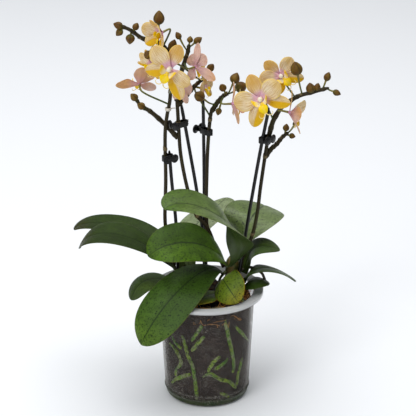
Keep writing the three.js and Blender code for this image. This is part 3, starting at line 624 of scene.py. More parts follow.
def blade_width(t, neck, widest, blunt):
    """Half-width along a blade as a share of its greatest: a rising quarter sine from the neck,
    then a rounded fall to nothing at the tip."""
    rise = neck + (1 - neck) * np.sin(np.pi / 2 * np.clip(t / widest, 0, 1)) ** 1.5
    past = np.clip((t - widest) / (1 - widest), 0, 1)
    return np.where(t < widest, rise, (1 - past**blunt) ** 0.62)


def blade(path, width, roll=(0, 0), shape=(12, 4), curl=0.1, up=(0, 0, 1), thick=1.8, rim=0.9,
          outline=(0.22, 0.6, 2.6), rows=84, sides=44, groove=0.0, ruffle=0.0):
    """A thin closed blade. Each cross-section is a flattened ring: its place u across the blade is
    the cosine of the angle round the ring. The surface stands half-width times (|u| sin(fold)
    minus curl u squared) above the middle line, sunk by a groove along the midrib and waved at
    the edge; its two sides lie half the thickness above and below, closing at the edge."""
    t = np.sin(np.linspace(0, np.pi / 2, rows)) ** 1.15
    t = 0.5 * t + 0.5 * np.linspace(0, 1, rows)
    middle = bezier(path, t)
    ahead, behind = bezier(path, np.clip(t + 1e-3, 0, 1)), bezier(path, np.clip(t - 1e-3, 0, 1))
    tangent = unit(ahead - behind)
    side = unit(np.cross(up, tangent))
    square = np.cross(tangent, side)
    turn = np.radians(roll[0] + (roll[1] - roll[0]) * t)[:, None]
    side = side * np.cos(turn) + square * np.sin(turn)
    normal = np.cross(tangent, side)
    lift = np.radians(shape[0] + (shape[1] - shape[0]) * t)[:, None]
    half = width / 2 * np.maximum(blade_width(t, *outline), 0.004)[:, None]
    u, over = np.cos([circle(sides)]), np.sin([circle(sides)])
    rise = half * (np.sqrt(u**2 + 0.003) * np.sin(lift) - curl * u**2)
    rise = rise - groove * np.exp(-((u * half / (0.035 * width)) ** 2)) * np.clip(half * 0.4, 0, 1)
    rise = rise + ruffle * u**2 * np.sin(11 * t[:, None] + 2.5 * u) * np.sin(np.pi * t[:, None])
    reach = (thick + (rim - thick) * np.abs(u)) / 2 * np.sqrt(np.clip(1 - u**6, 0, 1)) * np.sign(over)
    reach = reach * np.minimum(1, half * 1.4)
    rings = (
        middle[:, None]
        + (half * u * np.cos(lift))[..., None] * side[:, None]
        + (rise + reach)[..., None] * normal[:, None]
    )
    return skin(rings, {"along": t[:, None], "across": u, "upper": over})


def strands(length, count):
    """A place on a blade for lines from its foot to its tip, finer across it than along it."""
    feeds = {"X": times(mark("along"), length), "Y": times(mark("across"), count)}
    return node("ShaderNodeCombineXYZ", feeds).outputs["Vector"]


def leaf_finish(name, left, right, foot, tip, freckles, shine, margin=(104, 108, 46), fade=0.35):
    """Leaf green: left and right of the midrib, then towards the foot, from fade on, and the tip."""
    material = finish(name, left, specular=shine, glow=(0.06, 0.002, 0.003, 0.001))
    along, across, upper, spot = mark("along"), mark("across"), mark("upper"), place()
    vein = grain(strands(2.0, 26.0), 1.6, 4, 0.6)
    mottle = grain(spot, 90, 5, 0.6)
    dotted = times(step(dots(spot, 280.0), 0.32, 0.2), step(grain(spot, 150, 2), 0.38, 0.58))
    flecked = step(grain(spot, 520, 3, 0.7), 0.52, 0.6, 0, 0.65)
    from_rib = reckon("ABSOLUTE", across)
    rib = times(step(from_rib, 0.05, 0.015), step(upper, -0.1, 0.1))
    # The underside's dark mottled green is painted shade, standing in for the shadow under each blade.
    painted_shade_underside = blend(mottle, (38, 54, 16), (58, 76, 28))
    paint(coats(
        blend(step(across, -0.35, 0.35), left, right),
        (step(along, fade, 0.0), foot),
        (step(along, 0.72, 1.0), tip),
        (step(mottle, 0.35, 0.7, 0.0, 0.55), tuple(0.72 * c for c in left)),
        (step(vein, 0.46, 0.62, 0.0, 0.22), tuple(0.6 * c for c in left)),
        (times(reckon("MAXIMUM", dotted, flecked), freckles), (26, 38, 10)),
        (times(rib, 0.85), (30, 46, 14)),
        (times(step(from_rib, 0.965, 0.995), 0.6), margin),
        (step(upper, 0.05, -0.05), painted_shade_underside),
    ))
    paint(plus(times(mottle, 0.22), 0.28), "Roughness")
    relief(plus(vein, times(mottle, 0.6)), 0.0004, 0.7)
    return material


# Each leaf's colours: left of its midrib, right of it, at its foot and at its tip.
dark_leaf = leaf_finish(
    "dark green leaf", (48, 68, 16), (42, 60, 12), (54, 66, 18), (60, 56, 24), 0.6, 0.14)
# The front leaf's darker left half, against its bright right half, is painted shade where that half turns
# away from the light.
front_leaf = leaf_finish(
    "two-toned leaf", (62, 92, 18), (94, 132, 28), (92, 124, 32), (84, 118, 26), 0.9, 0.14)
big_leaf = leaf_finish(
    "freckled leaf", (72, 104, 34), (64, 94, 28), (58, 78, 24), (90, 118, 38), 0.95, 0.16)
# Over the leaf's own green, the pale grey-green at its foot, carried by fade 0.85 over most of its length,
# and its paler right half are painted sheen: light reflected off the waxy top.
crest_leaf = leaf_finish(
    "pale crest leaf", (90, 120, 38), (108, 132, 62), (142, 152, 114), (78, 112, 24), 0.9, 0.4, fade=0.85)
# The back leaves' pale grey-green is partly their own green and partly painted sheen, light reflected off
# their waxy tops; the left one, sheen_leaf, is painted paler still.
back_leaf = leaf_finish(
    "pale back leaf", (120, 140, 82), (108, 130, 66), (84, 108, 42), (116, 136, 76), 0.85, 0.48)
sheen_leaf = leaf_finish(
    "sheeny back leaf", (152, 166, 122), (140, 156, 110), (96, 118, 56), (140, 156, 108), 0.8, 0.5)
right_leaf = leaf_finish(
    "green side leaf", (66, 92, 30), (84, 106, 46), (54, 74, 22), (60, 78, 28), 0.6, 0.24)
yellow_leaf = leaf_finish(
    "yellowing leaf", (122, 148, 34), (112, 138, 34), (96, 120, 28), (160, 150, 36), 0.9, 0.2,
    margin=(190, 112, 22))

LEAVES = {
    "leaf_crest": (crest_leaf, [(25.4, -7, 149), (61, -46, 203), (-20, -32, 247), (-43, -50, 231)], 58,
                   {"roll": (4, -10), "shape": (10, 16)}),
    "leaf_front_left": (front_leaf, [(18.7, 4.6, 146), (7, -5, 178), (-38, -16, 188), (-61, -24, 167)], 58,
                        {"roll": (-26, -22), "shape": (14, 6), "outline": (0.32, 0.5, 2.6)}),
    "leaf_long_upper": (dark_leaf, [(-27, 28, 131), (-42, 50, 162), (-124, 55, 185), (-144, 50, 166)], 46,
                        {"roll": (-18, 8), "shape": (16, 8)}),
    "leaf_long_lower": (dark_leaf, [(-30, 8, 132), (-50, -6.5, 174), (-117, 4, 202), (-135, 5, 164)], 54,
                        {"roll": (-10, 2), "shape": (12, 8)}),
    "leaf_big_front": (big_leaf, [(16, 0, 137), (3, -3, 163), (-52, -58, 126), (-68, -65, 85)], 58,
                       {"roll": (0, -18), "shape": (6, 0)}),
    "leaf_low_left": (right_leaf, [(-29, 9, 117), (-39, 4, 127), (-72, -3, 145), (-80, -14, 112)], 38,
                      {"roll": (-14, 8), "shape": (6, -4)}),
    "leaf_round_front": (yellow_leaf, [(20.8, 0, 125.8), (12, -18, 147), (19, -32, 140), (33, -44, 123.6)],
                         37, {"roll": (42, 52), "shape": (0, -4)}),
    "leaf_under_front": (yellow_leaf, [(21, 1.6, 114), (5, -10, 117), (-6, -26, 123.4), (-9, -42, 120.6)],
                         30, {}),
    "leaf_back_left": (sheen_leaf, [(-17, 28.5, 123), (-34, 53, 170), (4, 65, 174), (21, 110, 179)], 56,
                       {"roll": (-16, -13), "shape": (12, 4)}),
    "leaf_back_right": (back_leaf, [(33.5, 18.5, 142), (42, 25, 187), (47, 16, 197), (63, 90, 178)], 64,
                        {"roll": (-12, 15), "shape": (17, 10), "outline": (0.22, 0.6, 3.4)}),
    "leaf_right_upper": (right_leaf, [(39.3, 6.7, 134.7), (44, 9.3, 159.3), (50, 8, 172), (77, 1, 163)], 43,
                         {"roll": (20, -6), "shape": (12, 5)}),
    "leaf_right_long": (right_leaf, [(38, 0.5, 125), (43, -7, 143), (63, 4, 152), (95, 6, 125)], 38,
                        {"roll": (-12, -12), "shape": (14, 3)}),
    "leaf_right_low": (right_leaf, [(36, -1.4, 115.6), (41, -6.5, 131.5), (54, -5, 133), (65, -12, 129)], 34,
                       {"roll": (10, -10), "shape": (4, -4)}),
}
for name, (material, path, width, form) in LEAVES.items():
    body = blade(path, width, groove=0.55, ruffle=0.35, **form)
    piece(name.replace("leaf", "blade"), [body], [material], [name])


# ---- Flower spikes: wiry dark stems with side stalks and closed buds ----
# Each rises from between the leaves and is clipped to its stick. A papery sheath marks every
# joint of the stem; the stalks are greener, and each bud is six pressed-together tepals.

# Each flower's centre, the way it faces in degrees round and up, its turn in its own plane, its
# size, how far it is cupped, and for some each tepal's direction, length, width and lean.
BLOOM_PARTS = ("centre", "facing", "spin", "size", "cup", "tepals")
BLOOMS = {
    "top_left": ((-45, -6, 404), (-48, -6), 0, 0.76, 40),
    "main_left": ((-36, -24, 373), (-20, -8), -25, 1.03, 4, (
        (90, 1, 0.9, 0), (150, 1, 0.9, 0), (-14, 0.9, 0.72, 0), (-50, 1.22, 0.95, 0),
        (-142, 0.95, 0.9, 0))),
    "side_left": ((-55, -1, 368.5), (-50, -10), 5, 0.64, 12, (
        (95, 1, 0.9, 0), (135, 1, 0.9, 0), (22, 1, 0.9, 0), (-50, 0.9, 0.9, 0), (178, 1.15, 0.5, 0))),
    "far_left": ((-69, 8, 345), (-165, 20), 0, 0.75, 8, (
        (97, 0.95, 1.15, 0), (152, 0.95, 0.6, 0), (0, 1, 0.55, 0), (-2, 1.15, 0.85, 0),
        (-153, 1, 0.85, 0))),
    "upper_centre": ((-12, -6, 368), (143, -5), 0, 0.8, 10, (
        (90, 1.1, 0.65, 0), (128, 0.75, 0.7, 0), (48, 0.6, 0.9, 0), (-60, 0.75, 0.8, 0),
        (-158, 1.15, 0.85, 0))),
    "lower_centre": ((-3, 15, 338), (60, 5), 0, 0.5, 12),
    "behind_left": ((-27, -0.5, 342), (130, -10), 0, 0.58, 8),
    "edge_right": ((26, 8, 324), (100, -5), 0, 0.84, 30, (
        (90, 1, 0.6, -30), (158, 1, 1, 0), (22, 0.9, 0.9, 0), (-42, 1, 0.85, -15), (-138, 1, 0.9, -15))),
    "main_right": ((54, -22, 340), (-8, 4), 26, 1, 3, (
        (90, 0.95, 0.95, 0), (164, 1, 0.9, 0), (20, 0.95, 0.9, 0), (-33, 1.08, 0.85, 0),
        (-128, 1.08, 0.95, 0))),
    "upper_right": ((74.5, 8, 354.5), (10, 5), 47, 0.88, 5, (
        (90, 0.9, 0.9, 0), (140, 0.95, 0.85, 0), (13, 0.9, 0.75, 0), (-57, 1, 0.8, 0),
        (-145, 0.8, 0.9, 0))),
    "lower_right": ((84, -7, 320), (80, -8), 0, 0.85, 42, (
        (92, 1, 0.5, -44), (165, 0.85, 0.78, 0), (22, 0.9, 0.95, 0), (-50, 1, 0.8, -10),
        (-130, 1.1, 0.7, -2))),
}
BLOOMS = {name: dict(zip(BLOOM_PARTS, row)) for name, row in BLOOMS.items()}
# Each bud's row: the foot of its stalk, its centre, its length and its width.
SPIKES = {
    "left": {
        "stem": [
            (-29.5, 14, 124), (-35, 16, 138), (-37, 19, 156), (-41, 17, 170), (-44, 14, 188),
            (-43, 12, 239), (-43, 12, 293), (-41, 12, 310), (-38, 12, 326), (-37, 12, 348),
        ],
        "upper": [
            (-37, 12, 345), (-37, 12, 362), (-39, 11, 377), (-47, 8, 388), (-65, 4, 395), (-77, 3, 404),
            (-88, 2, 409),
        ],
        "flowers": [
            ("top_left", (-44, 9, 385)), ("side_left", (-38, 12, 372)), ("far_left", (-39, 12, 322)),
            ("behind_left", (-38, 12, 334)),
        ],
        "buds": [
            ((-49, 7, 389), (-48, 6, 416), 15, 11.5), ((-38.5, 11, 373), (-34.5, 10, 385.5), 14, 9.5),
            ((-53, 6.7, 390), (-59, -13, 382.5), 11, 8.5), ((-84, 2, 407), (-89, 2, 409), 10, 8),
            ((-83, 2, 407), (-88, 2, 401.5), 9, 7.5), ((-74, 3, 402), (-71, 2, 408), 8.5, 7),
            ((-76, 3, 403), (-77, 2, 394.5), 10.5, 9.5),
        ],
        "joints": [0.3, 0.62, 0.93],
    },
    "centre_left": {
        "stem": [
            (18, 13, 138), (12, 18, 150), (0, 18, 183), (-12, 17, 198), (-20, 15, 226), (-27, 15, 264),
            (-29, 15, 290), (-30, 15, 312), (-31, 15, 328),
        ],
        "upper": [
            (-31, 15, 325), (-30, 14, 340), (-27, 13, 353), (-22, 11, 370), (-19, 10, 380),
            (-18, 10, 387),
        ],
        "branches": [
            ((-30, 15, 284), (-43, 20, 297), (-59, 20, 312), (-68, 19, 318), (-73, 18, 326)),
            ((-30, 15, 320), (-21, 17, 330), (-12, 19, 340), (-4, 20, 347)),
        ],
        "flowers": [("upper_centre", (-23, 11.4, 367)), ("main_left", (-6, 19.5, 345))],
        "buds": [
            ((-18, 10, 386), (-17, 10, 392), 7, 6.5), ((-20, 10, 380), (-29, 10, 396), 8.5, 6.5),
            ((-18, 10, 384), (-9, 10, 391), 10, 7.5), ((-5, 20, 346), (-2, 20, 350), 8, 6.5),
            ((-7, 19.5, 344), (4, 14, 361), 10, 8), ((-65, 19, 316), (-68, 18, 318.5), 9.5, 8),
            ((-72, 18, 325), (-75, 18, 328), 9.5, 8),
        ],
        "joints": [0.35, 0.8],
    },
    "centre": {
        "stem": [
            (25, 18, 132), (16, 25, 142), (4, 23, 165), (0, 22, 183), (0, 22, 247), (1, 22, 273),
            (3, 22, 300), (5, 22, 314),
        ],
        "upper": [(5, 22, 311), (11, 22, 321), (18, 21, 329), (22, 20, 331)],
        "flowers": [("edge_right", (17, 21, 328)), ("lower_centre", (4, 22, 304))],
        "buds": [
            ((9, 22, 318), (-8, -1, 335.5), 14, 11), ((20, 20, 330), (16, 16, 339), 9, 8),
            ((22, 20, 331), (29, 24, 346.5), 12, 10.5), ((16, 22, 327), (12, 18, 312), 8, 6.5),
            ((21, 21, 330), (35.5, 33, 334), 14, 12),
        ],
        "joints": [0.4, 0.86],
    },
    "right": {
        "stem": [
            (35, 0, 140), (38, -1, 157), (44, 0, 171), (49, 0, 187), (53, 0, 210), (55, 0, 230),
            (58, 0, 255), (61, 0, 278), (64, 0, 297),
        ],
        "upper": [
            (64, 0, 294), (68, 0, 309), (77, 0, 324), (85, 0, 330), (93, 0, 335), (110, 0, 340),
            (124, 0, 344),
        ],
        "branches": [((60, 1, 268), (66, 4, 276), (72, 6, 281), (78, 8, 288), (84, 8, 293))],
        "flowers": [
            ("main_right", (68, 0, 309)), ("upper_right", (90, 0, 333)), ("lower_right", (73, 0, 318)),
        ],
        "buds": [
            ((97, 0, 336), (89.8, -7, 367), 15.5, 12.5), ((106, 0, 338), (105, 0, 344), 11, 10),
            ((111, 0, 340), (112, 0, 345), 8.5, 7), ((117, 0, 342), (122, 0, 356), 10, 7.5),
            ((122, 0, 343), (132, 0, 338.5), 9, 6.5), ((80, 8, 290), (81.5, 9, 298), 8, 7),
            ((81, 7.5, 291), (88, 8, 289), 7, 6), ((83, 8, 292), (92, 21, 298), 8, 6),
        ],
        "joints": [0.33, 0.82],
    },
}


def flower_turn(bloom):
    """The rotation of a flower: its columns point to the flower's right, to its upper sepal, and
    out of its face."""
    azimuth, tilt, turn = np.radians([*bloom["facing"], bloom["spin"]])
    out = np.array([np.sin(azimuth) * np.cos(tilt), -np.cos(azimuth) * np.cos(tilt), np.sin(tilt)])
    level = np.array([np.cos(azimuth), np.sin(azimuth), 0])
    right = level * np.cos(turn) + np.cross(out, level) * np.sin(turn)
    return np.stack([right, np.cross(out, right), out], axis=-1)


def bud(start, centre, length, width):
    """A closed bud on a thin curved stalk. Its radius is a sine along its length drawn out to a
    blunt point, with three shallow seams round it where the outer tepals meet."""
    start, centre = np.asarray(start, dtype=float), np.asarray(centre, dtype=float)
    way = unit(centre - start)
    aside = unit(np.cross(way, np.eye(3)[np.abs(way).argmin()]))
    above = np.cross(way, aside)
    s = np.linspace(0.012, 0.995, 22)[:, None]
    angle = circle(24)
    swell = np.sin(np.pi * s**0.8) ** 0.62 * (1 - 0.28 * s**4)
    seam = 1 - 0.07 * np.exp(-((np.sin(1.5 * angle) / 0.22) ** 2))
    radius = width / 2 * swell * seam
    rings = centre + (s[..., None] - 0.5) * length * way
    rings = rings + (radius * np.cos(angle))[..., None] * aside
    rings = rings + (radius * np.sin(angle))[..., None] * above
    marks = {"along": s, "seam": np.exp(-((np.sin(1.5 * angle) / 0.3) ** 2)) + 0 * s}
    foot = centre - way * length * 0.45
    droop = (start + foot) / 2 + np.array([0, 0, -0.06]) * np.linalg.norm(foot - start)
    stalk = rod([start, droop, foot], lambda t: 0.85 + 0.35 * t**3, 10, 16, {"seam": 0.0}, 1)
    return [skin(rings, marks, 2), stalk]


def knobbly(t):
    """The radius of a stem's upper part: it swells at each old flower stalk and thins to its tip."""
    return 2.6 - 0.9 * t**1.5 + 0.45 * np.exp(-(((7 * t) % 1 - 0.5) ** 2) / 0.03)


def joint_sheath(line, share, radius):
    """The papery scale at a joint of the stem: a cone open at a slant, wrapped round the stem."""
    curve = smooth_line(line, 200)
    i = int(share * 199)
    way = unit(curve[min(i + 3, 199)] - curve[max(i - 3, 0)])
    aside = unit(np.cross(way, [0, 1, 0.2]))
    above = np.cross(way, aside)
    s = np.array([0, 0.15, 0.5, 0.8, 1, 0.95, 0.5])[:, None]
    out = np.array([1.02, 1.24, 1.2, 1.22, 1.14, 1.04, 1.02])[:, None]
    angle = circle(18)
    tall = 3.2 + 2.6 * (0.5 + 0.5 * np.cos(angle + 9 * share)) ** 3
    ring = np.cos(angle)[:, None] * aside + np.sin(angle)[:, None] * above
    rings = curve[i] + (s * tall)[..., None] * way + radius * out[..., None] * ring
    return skin(rings, {"along": s, "seam": 0.0}, 3)


spike_skin = finish("spike skin", (58, 50, 30), 0.5, specular=0.2)
streak = grain(place((1, 1, 0.12)), 420, 4, 0.6)
dark_green = step(grain(place(), 28), 0.5, 0.7, 0, 0.4)
paint(coats(blend(streak, (30, 25, 15), (64, 55, 30)), (dark_green, (62, 66, 28))))
relief(streak, 0.0004)

stalk_skin = finish("flower stalk", (112, 116, 40), 0.45)
along = mark("along")
paint(coats(
    blend(step(along, 0.1, 0.75), (70, 84, 24), (134, 124, 48)),
    (step(along, 0.75, 1.0, 0, 0.55), (176, 146, 92)),
    (times(grain(place(), 120, 3), 0.5), (62, 78, 22)),
))

bud_skin = finish("closed bud", (104, 82, 40), 0.55, specular=0.2)
paint(coats(
    blend(step(grain(place(), 160, 4), 0.35, 0.7), (94, 62, 20), (116, 90, 30)),
    (step(mark("along"), 0.4, 0.05, 0, 0.75), (84, 86, 28)),
    (times(mark("seam"), 0.75), (60, 46, 22)),
))
relief(grain(place((1, 1, 0.4)), 700, 4), 0.0003, 0.6)

sheath_skin = finish("papery sheath", (96, 82, 48), 0.6)
paint(blend(grain(place((1, 1, 0.2)), 500), (70, 60, 32), (128, 108, 66)))

for name, spike in SPIKES.items():
    skins = [rod(spike["stem"], lambda t: 1.95 - 0.05 * t, 16, 160, {"seam": 0.0}, 0, True)]
    for line in [spike["upper"], *spike.get("branches", [])]:
        skins.append(rod(line, knobbly, 14, 160, {"seam": 0.0}, 0, True))
        skins += [joint_sheath(line, share, 1.7) for share in (0.06, 0.4, 0.66)]
    skins += [joint_sheath(spike["stem"], share, 1.9) for share in spike["joints"]]
    for bloom_name, start in spike["flowers"]:
        bloom = BLOOMS[bloom_name]
        centre, out = np.array(bloom["centre"]), flower_turn(bloom)[:, 2]
        line = [start, centre - 11 * out, centre - (bloom["size"] + 0.2) * out]
        skins.append(rod(line, lambda t: 0.95 + 0.4 * t**4, 12, 48, {"seam": 0.0}, 1))
    for spec in spike["buds"]:
        skins += bud(*spec)
    finishes = [spike_skin, stalk_skin, bud_skin, sheath_skin]
    piece(f"flower_spike_{name}", skins, finishes, [f"spike_{name}"])


# ---- Blooms: five waxy tepals round a short white column ----
# Three narrower sepals lie behind two broad petals. Cream and apricot, flushed pink at the heart,
# with yellow edges; the two lower sepals turn mustard on the side towards the lip. The backs are
# tan, and fine veins fan out from the foot of each.
SEPAL = {"length": 28, "width": 17, "start": 0, "outline": (0.3, 0.5, 2.0)}
PETAL = {"length": 27, "width": 24, "start": 2, "outline": (0.26, 0.5, 2.2)}
TEPALS = [("dorsal", SEPAL), ("petal", PETAL), ("petal", PETAL), ("lateral", SEPAL), ("lateral", SEPAL)]
TEPAL_SET = ((90, 1, 1, 0), (158, 1, 1, 0), (22, 1, 1, 0), (-42, 1, 1, 0), (-138, 1, 1, 0))


def tepal(kind, form, grown, size, cup, seed):
    """One tepal in the flower's own frame: it leans forward by the cup angle and its own, bows out
    a little past its middle, and its tip turns back. Grown gives its direction, its length and
    width as shares of the usual, and its further lean. The gold mark is where its kind is yellow."""
    angle, longer, wider, further = grown
    turn, lean = np.radians([angle, cup + further])
    draw = np.random.default_rng(seed)
    wobble = draw.normal(0, 0.5, 2)

    def at(share, lift):
        reach = 1.8 + longer * form["length"] * share * np.cos(lean)
        height = form["start"] + longer * form["length"] * share * np.sin(lean) + lift
        return np.array([reach * np.cos(turn), reach * np.sin(turn), height]) * size

    path = [at(0, 0), at(0.33, 0.6 + wobble[0]), at(0.7, 1.5 + wobble[1]), at(0.95, -1)]
    made = blade(path, wider * form["width"] * size, shape=(10, 2), thick=0.85, rim=0.5,
                 outline=form["outline"], rows=40, sides=40, groove=0.3,
                 ruffle=0.55 if kind == "petal" else 0.3)
    t, u = made["marks"]["along"], made["marks"]["across"]
    if kind == "lateral":
        inner = u if np.cos(turn) < 0 else -u
        gold = np.clip((inner + 0.06 + 0.2 * t) * 6, 0, 1) * np.clip(t * 5, 0, 1)
    elif kind == "dorsal":
        gold = 0.25 * np.exp(-(((t - 0.7) / 0.3) ** 2) - (u / 0.7) ** 2)
    else:
        gold = 0.12 * np.exp(-(((t - 0.85) / 0.2) ** 2))
    made["marks"]["gold"] = gold
    made["marks"]["ochre"] = 0.75 * np.clip(t * 2.2 - 0.3, 0, 1) if kind == "dorsal" else 0.0 * t
    return made


petal_glow = (0.12, 0.002, 0.0015, 0.0008)
petal_skin = finish("cream and apricot tepal", (226, 198, 146), specular=0.25, glow=petal_glow)
along, spot = mark("along"), place()
vein = grain(strands(1.2, 18.0), 1.5, 3, 0.55)
soft = grain(spot, 130, 4)
face = coats(
    blend(step(soft, 0.3, 0.7), (248, 234, 206), (238, 216, 168)),
    (step(along, 0.3, 0.9, 0, 0.55), (226, 190, 108)),
    (step(vein, 0.46, 0.56, 0, 0.7), (200, 152, 84)),
    (times(mark("ochre"), step(vein, 0.3, 0.6, 0.6, 1)), (206, 152, 62)),
    (times(mark("gold"), step(soft, 0.1, 0.5, 0.8, 1)), (230, 180, 4)),
    (step(reckon("ABSOLUTE", mark("across")), 0.8, 0.98, 0, 0.7), (240, 206, 96)),
    (step(plus(along, times(vein, 0.16)), 0.4, 0.2, 0, 0.85), (226, 176, 206)),
)
rear = coats(
    blend(step(grain(spot, 22, 2), 0.4, 0.6), (216, 164, 108), (230, 196, 182)),
    (step(soft, 0.35, 0.75, 0, 0.35), (198, 138, 100)),
    (step(vein, 0.48, 0.64, 0, 0.4), (172, 122, 84)),
    (step(along, 0.5, 0.1, 0, 0.6), (204, 150, 162)),
)
paint(blend(step(mark("upper"), 0.05, -0.05), face, rear))
relief(vein, 0.0003, 0.5)

column_skin = finish("white column", (240, 226, 214), 0.4, glow=(0.2, 0.003, 0.002, 0.002))
paint(blend(step(mark("along"), 0.5, 0.1), (244, 236, 216), (214, 150, 196)))


def set_in_place(made, bloom):
    """Moves a skin from the flower's own frame to its place on the spike."""
    made["points"] = made["points"] @ flower_turn(bloom).T + np.array(bloom["centre"])
    return made


for order, (name, bloom) in enumerate(BLOOMS.items()):
    size, cup = bloom["size"], bloom["cup"]
    skins = [
        tepal(kind, form, grown, size, cup, 10 * order + i)
        for i, ((kind, form), grown) in enumerate(zip(TEPALS, bloom.get("tepals", TEPAL_SET)))
    ]
    column_line = np.array([(0, 0, -1.2), (0, 0.25, 2), (0, 0.5, 4.5), (0, 0.1, 7.6)]) * size
    head = lambda t: 0.35 * np.exp(-(((t - 0.82) / 0.14) ** 2))
    swell = lambda t: size * (1.9 + 0.45 * np.sin(np.pi * t) ** 2 + head(t))
    skins.append(rod(column_line, swell, 20, 26, {"gold": 0.0}, 1, True))
    skins = [set_in_place(s, bloom) for s in skins]
    piece(f"flower_{name}", skins, [petal_skin, column_skin], [f"bloom_{name}"])


# ---- Lips: the small three-lobed lower petal of each flower ----
# A pointed middle lobe ends in two curled tendrils, a lobe stands up on each side of the column,
# and a yellow knob sits where the three meet. Yellow, with white inner faces and red-brown dots.
lip_glow = (0.06, 0.004, 0.003, 0.001)
lip_skin = finish("yellow lip", (226, 190, 18), 0.45, specular=0.2, glow=lip_glow)
spot = place()
freckle = step(grain(spot, 900, 2), 0.64, 0.7, 0, 0.55)
paint(coats(
    blend(grain(spot, 240, 3), (255, 226, 0), (244, 200, 0)),
    (times(freckle, step(mark("along"), 0.6, 0.2)), (170, 80, 40)),
    (mark("pale"), (240, 230, 214)),
))

for name, bloom in BLOOMS.items():
    size, spread = bloom["size"], 1 - bloom["cup"] / 70
    form = {"rows": 26, "sides": 28, "thick": 0.75, "rim": 0.45}
    middle = np.array([(0, -5, 5.6), (0, -7, 9), (0, -10, 11), (0, -15, 8.5)]) * size
    arrow = blade(middle, 10.8 * spread * size, shape=(22, 6), outline=(0.3, 0.45, 1.5),
                  groove=0.25, **form)
    arrow["marks"]["pale"] = 0.1 * np.exp(-((arrow["marks"]["across"] / 0.3) ** 2))
    skins = [arrow]
    s = np.linspace(0.02, 0.98, 14)[:, None]
    angle = circle(20)
    plump = 2.1 * np.sin(np.pi * s) ** 0.7 * (1 - 0.16 * np.cos(2 * angle) ** 2)
    knob = [plump * np.cos(angle), plump * np.sin(angle) - 4.7, 2.8 + 4.4 * s + 0 * angle]
    knob = np.stack(knob, axis=-1) * size
    skins.append(skin(knob, {"along": s, "pale": 0.15}, 0))
    for side in (-1, 1):
        mirror = np.array([side * spread, 1, 1]) * size
        lobe = blade(np.array([(1, -4.8, 4.8), (5, -4.5, 6), (8, -2, 9), (8.5, 3.5, 9)]) * mirror,
                     8.6 * size, shape=(16, 10), up=(-side, 0, 0), outline=(0.4, 0.6, 2.4), **form)
        white = 0.9 * np.clip(1.5 - 2.2 * lobe["marks"]["along"], 0, 1)
        lobe["marks"]["pale"] = np.where(lobe["marks"]["upper"] > 0, white, 0.0)
        tendril = [(0.4, -14, 9), (2.6, -16.6, 9.7), (5.6, -17.4, 9.3), (7.6, -15.8, 8.8), (7.2, -13.6, 9)]
        thinning = lambda t: size * (0.55 - 0.28 * t)
        skins += [lobe, rod(tendril * mirror, thinning, 10, 30, {"pale": 0.45}, 0, True)]
    skins = [set_in_place(s, bloom) for s in skins]
    piece(f"flower_lip_{name}", skins, [lip_skin], [f"lip_{name}"])


# ---- Sticks: glossy black plastic stakes pushed into the mix ----
# One stands by each spike, straight or leaning with it, with a rounded top.
STAKES = {
    "left": [(-31.8, 22, 60), (-31.3, 21, 139), (-33, 17, 191), (-37, 16, 237), (-39.2, 16, 270)],
    "centre_left": [(3, 26, 20), (-2, 25, 150), (-10, 23, 217), (-18, 21, 268), (-27, 20, 322)],
    "centre": [(-3, 31, 20), (-3, 30, 150), (-3, 29, 233), (-4, 28, 326)],
    "right": [(24, -6, 88), (34, -5.5, 143), (46, -7, 223), (55.5, -7, 283), (63, -7, 325)],
}
STICK_RADIUS = 1.8
black_plastic = finish("black plastic", (12, 12, 13), 0.3, specular=0.35)
wear = grain(place(), 300, 5)
paint(blend(step(wear, 0.55, 0.8), (9, 9, 10), (26, 25, 24)))
paint(plus(times(wear, 0.3), 0.18), "Roughness")
relief(grain(place((1, 1, 0.15)), 500), 0.0001, 0.5)
for name, points in STAKES.items():
    stick = rod(points, STICK_RADIUS, 18, 90, round_end=True)
    piece(f"stick_{name}", [stick], [black_plastic], [f"stake_{name}"])


# ---- Clips: black plastic claw clips that hold a spike to its stick ----
# A toothed loop closes round both rods, and two round finger tabs squeeze it open.
CLIPS = {
    "left": {"rods": [(-38.9, 16), (-43, 12)], "height": 263, "tabs": 76},
    "centre_left": {"rods": [(-23.2, 20.3), (-29.6, 15)], "height": 299, "tabs": 0},
    "centre": {"rods": [(2.2, 22), (-3.7, 28.4)], "height": 288, "tabs": 0},
    "right": {"rods": [(56.6, -7), (62.6, 0)], "height": 290, "tabs": -90},
}


def rounded_prism(outline, low, high, ease):
    """A closed flat outline carried up from low to high, with its top and bottom edges eased by
    shrinking the outline towards its middle by that many millimetres."""
    outline = np.asarray(outline, dtype=float)
    middle = outline.mean(axis=0)
    far = np.linalg.norm(outline - middle, axis=1).mean()
    levels = [(low, 1 - ease / far), (low + ease * 0.4, 1 - ease * 0.3 / far), (low + ease, 1)]
    levels += [(high - ease, 1), (high - ease * 0.4, 1 - ease * 0.3 / far), (high, 1 - ease / far)]
    flat = np.column_stack([outline - middle, 0 * outline[:, 0]])
    return np.stack([[*middle, z] + flat * k for z, k in levels])


def stadium(radius, span, count=20):
    """Two half circles joined by straight sides."""
    arc = np.radians(np.linspace(-90, 90, count))
    right = np.stack([span / 2 + radius * np.cos(arc), radius * np.sin(arc)], -1)
    return np.concatenate([right, -right])


def hoop(rings):
    """Like skin, but the last ring of points meets the first, so the tube closes on itself."""
    made = skin(np.concatenate([rings, rings[:1]]))
    count = rings.shape[0] * rings.shape[1]
    made["points"] = made["points"][:count]
    made["quads"] = np.where(made["quads"] >= count, made["quads"] - count, made["quads"])
    made["fans"] = made["fans"][:0]
    return made


def spun(points, angle):
    """Points turned about the vertical axis by that angle."""
    c, s = math.cos(angle), math.sin(angle)
    return points @ np.array([[c, s, 0], [-s, c, 0], [0, 0, 1]])


def softened(wave):
    """A sine or cosine pushed out towards 1 and -1, which squares a circle with rounded corners."""
    return np.sign(wave) * np.abs(wave) ** 0.35


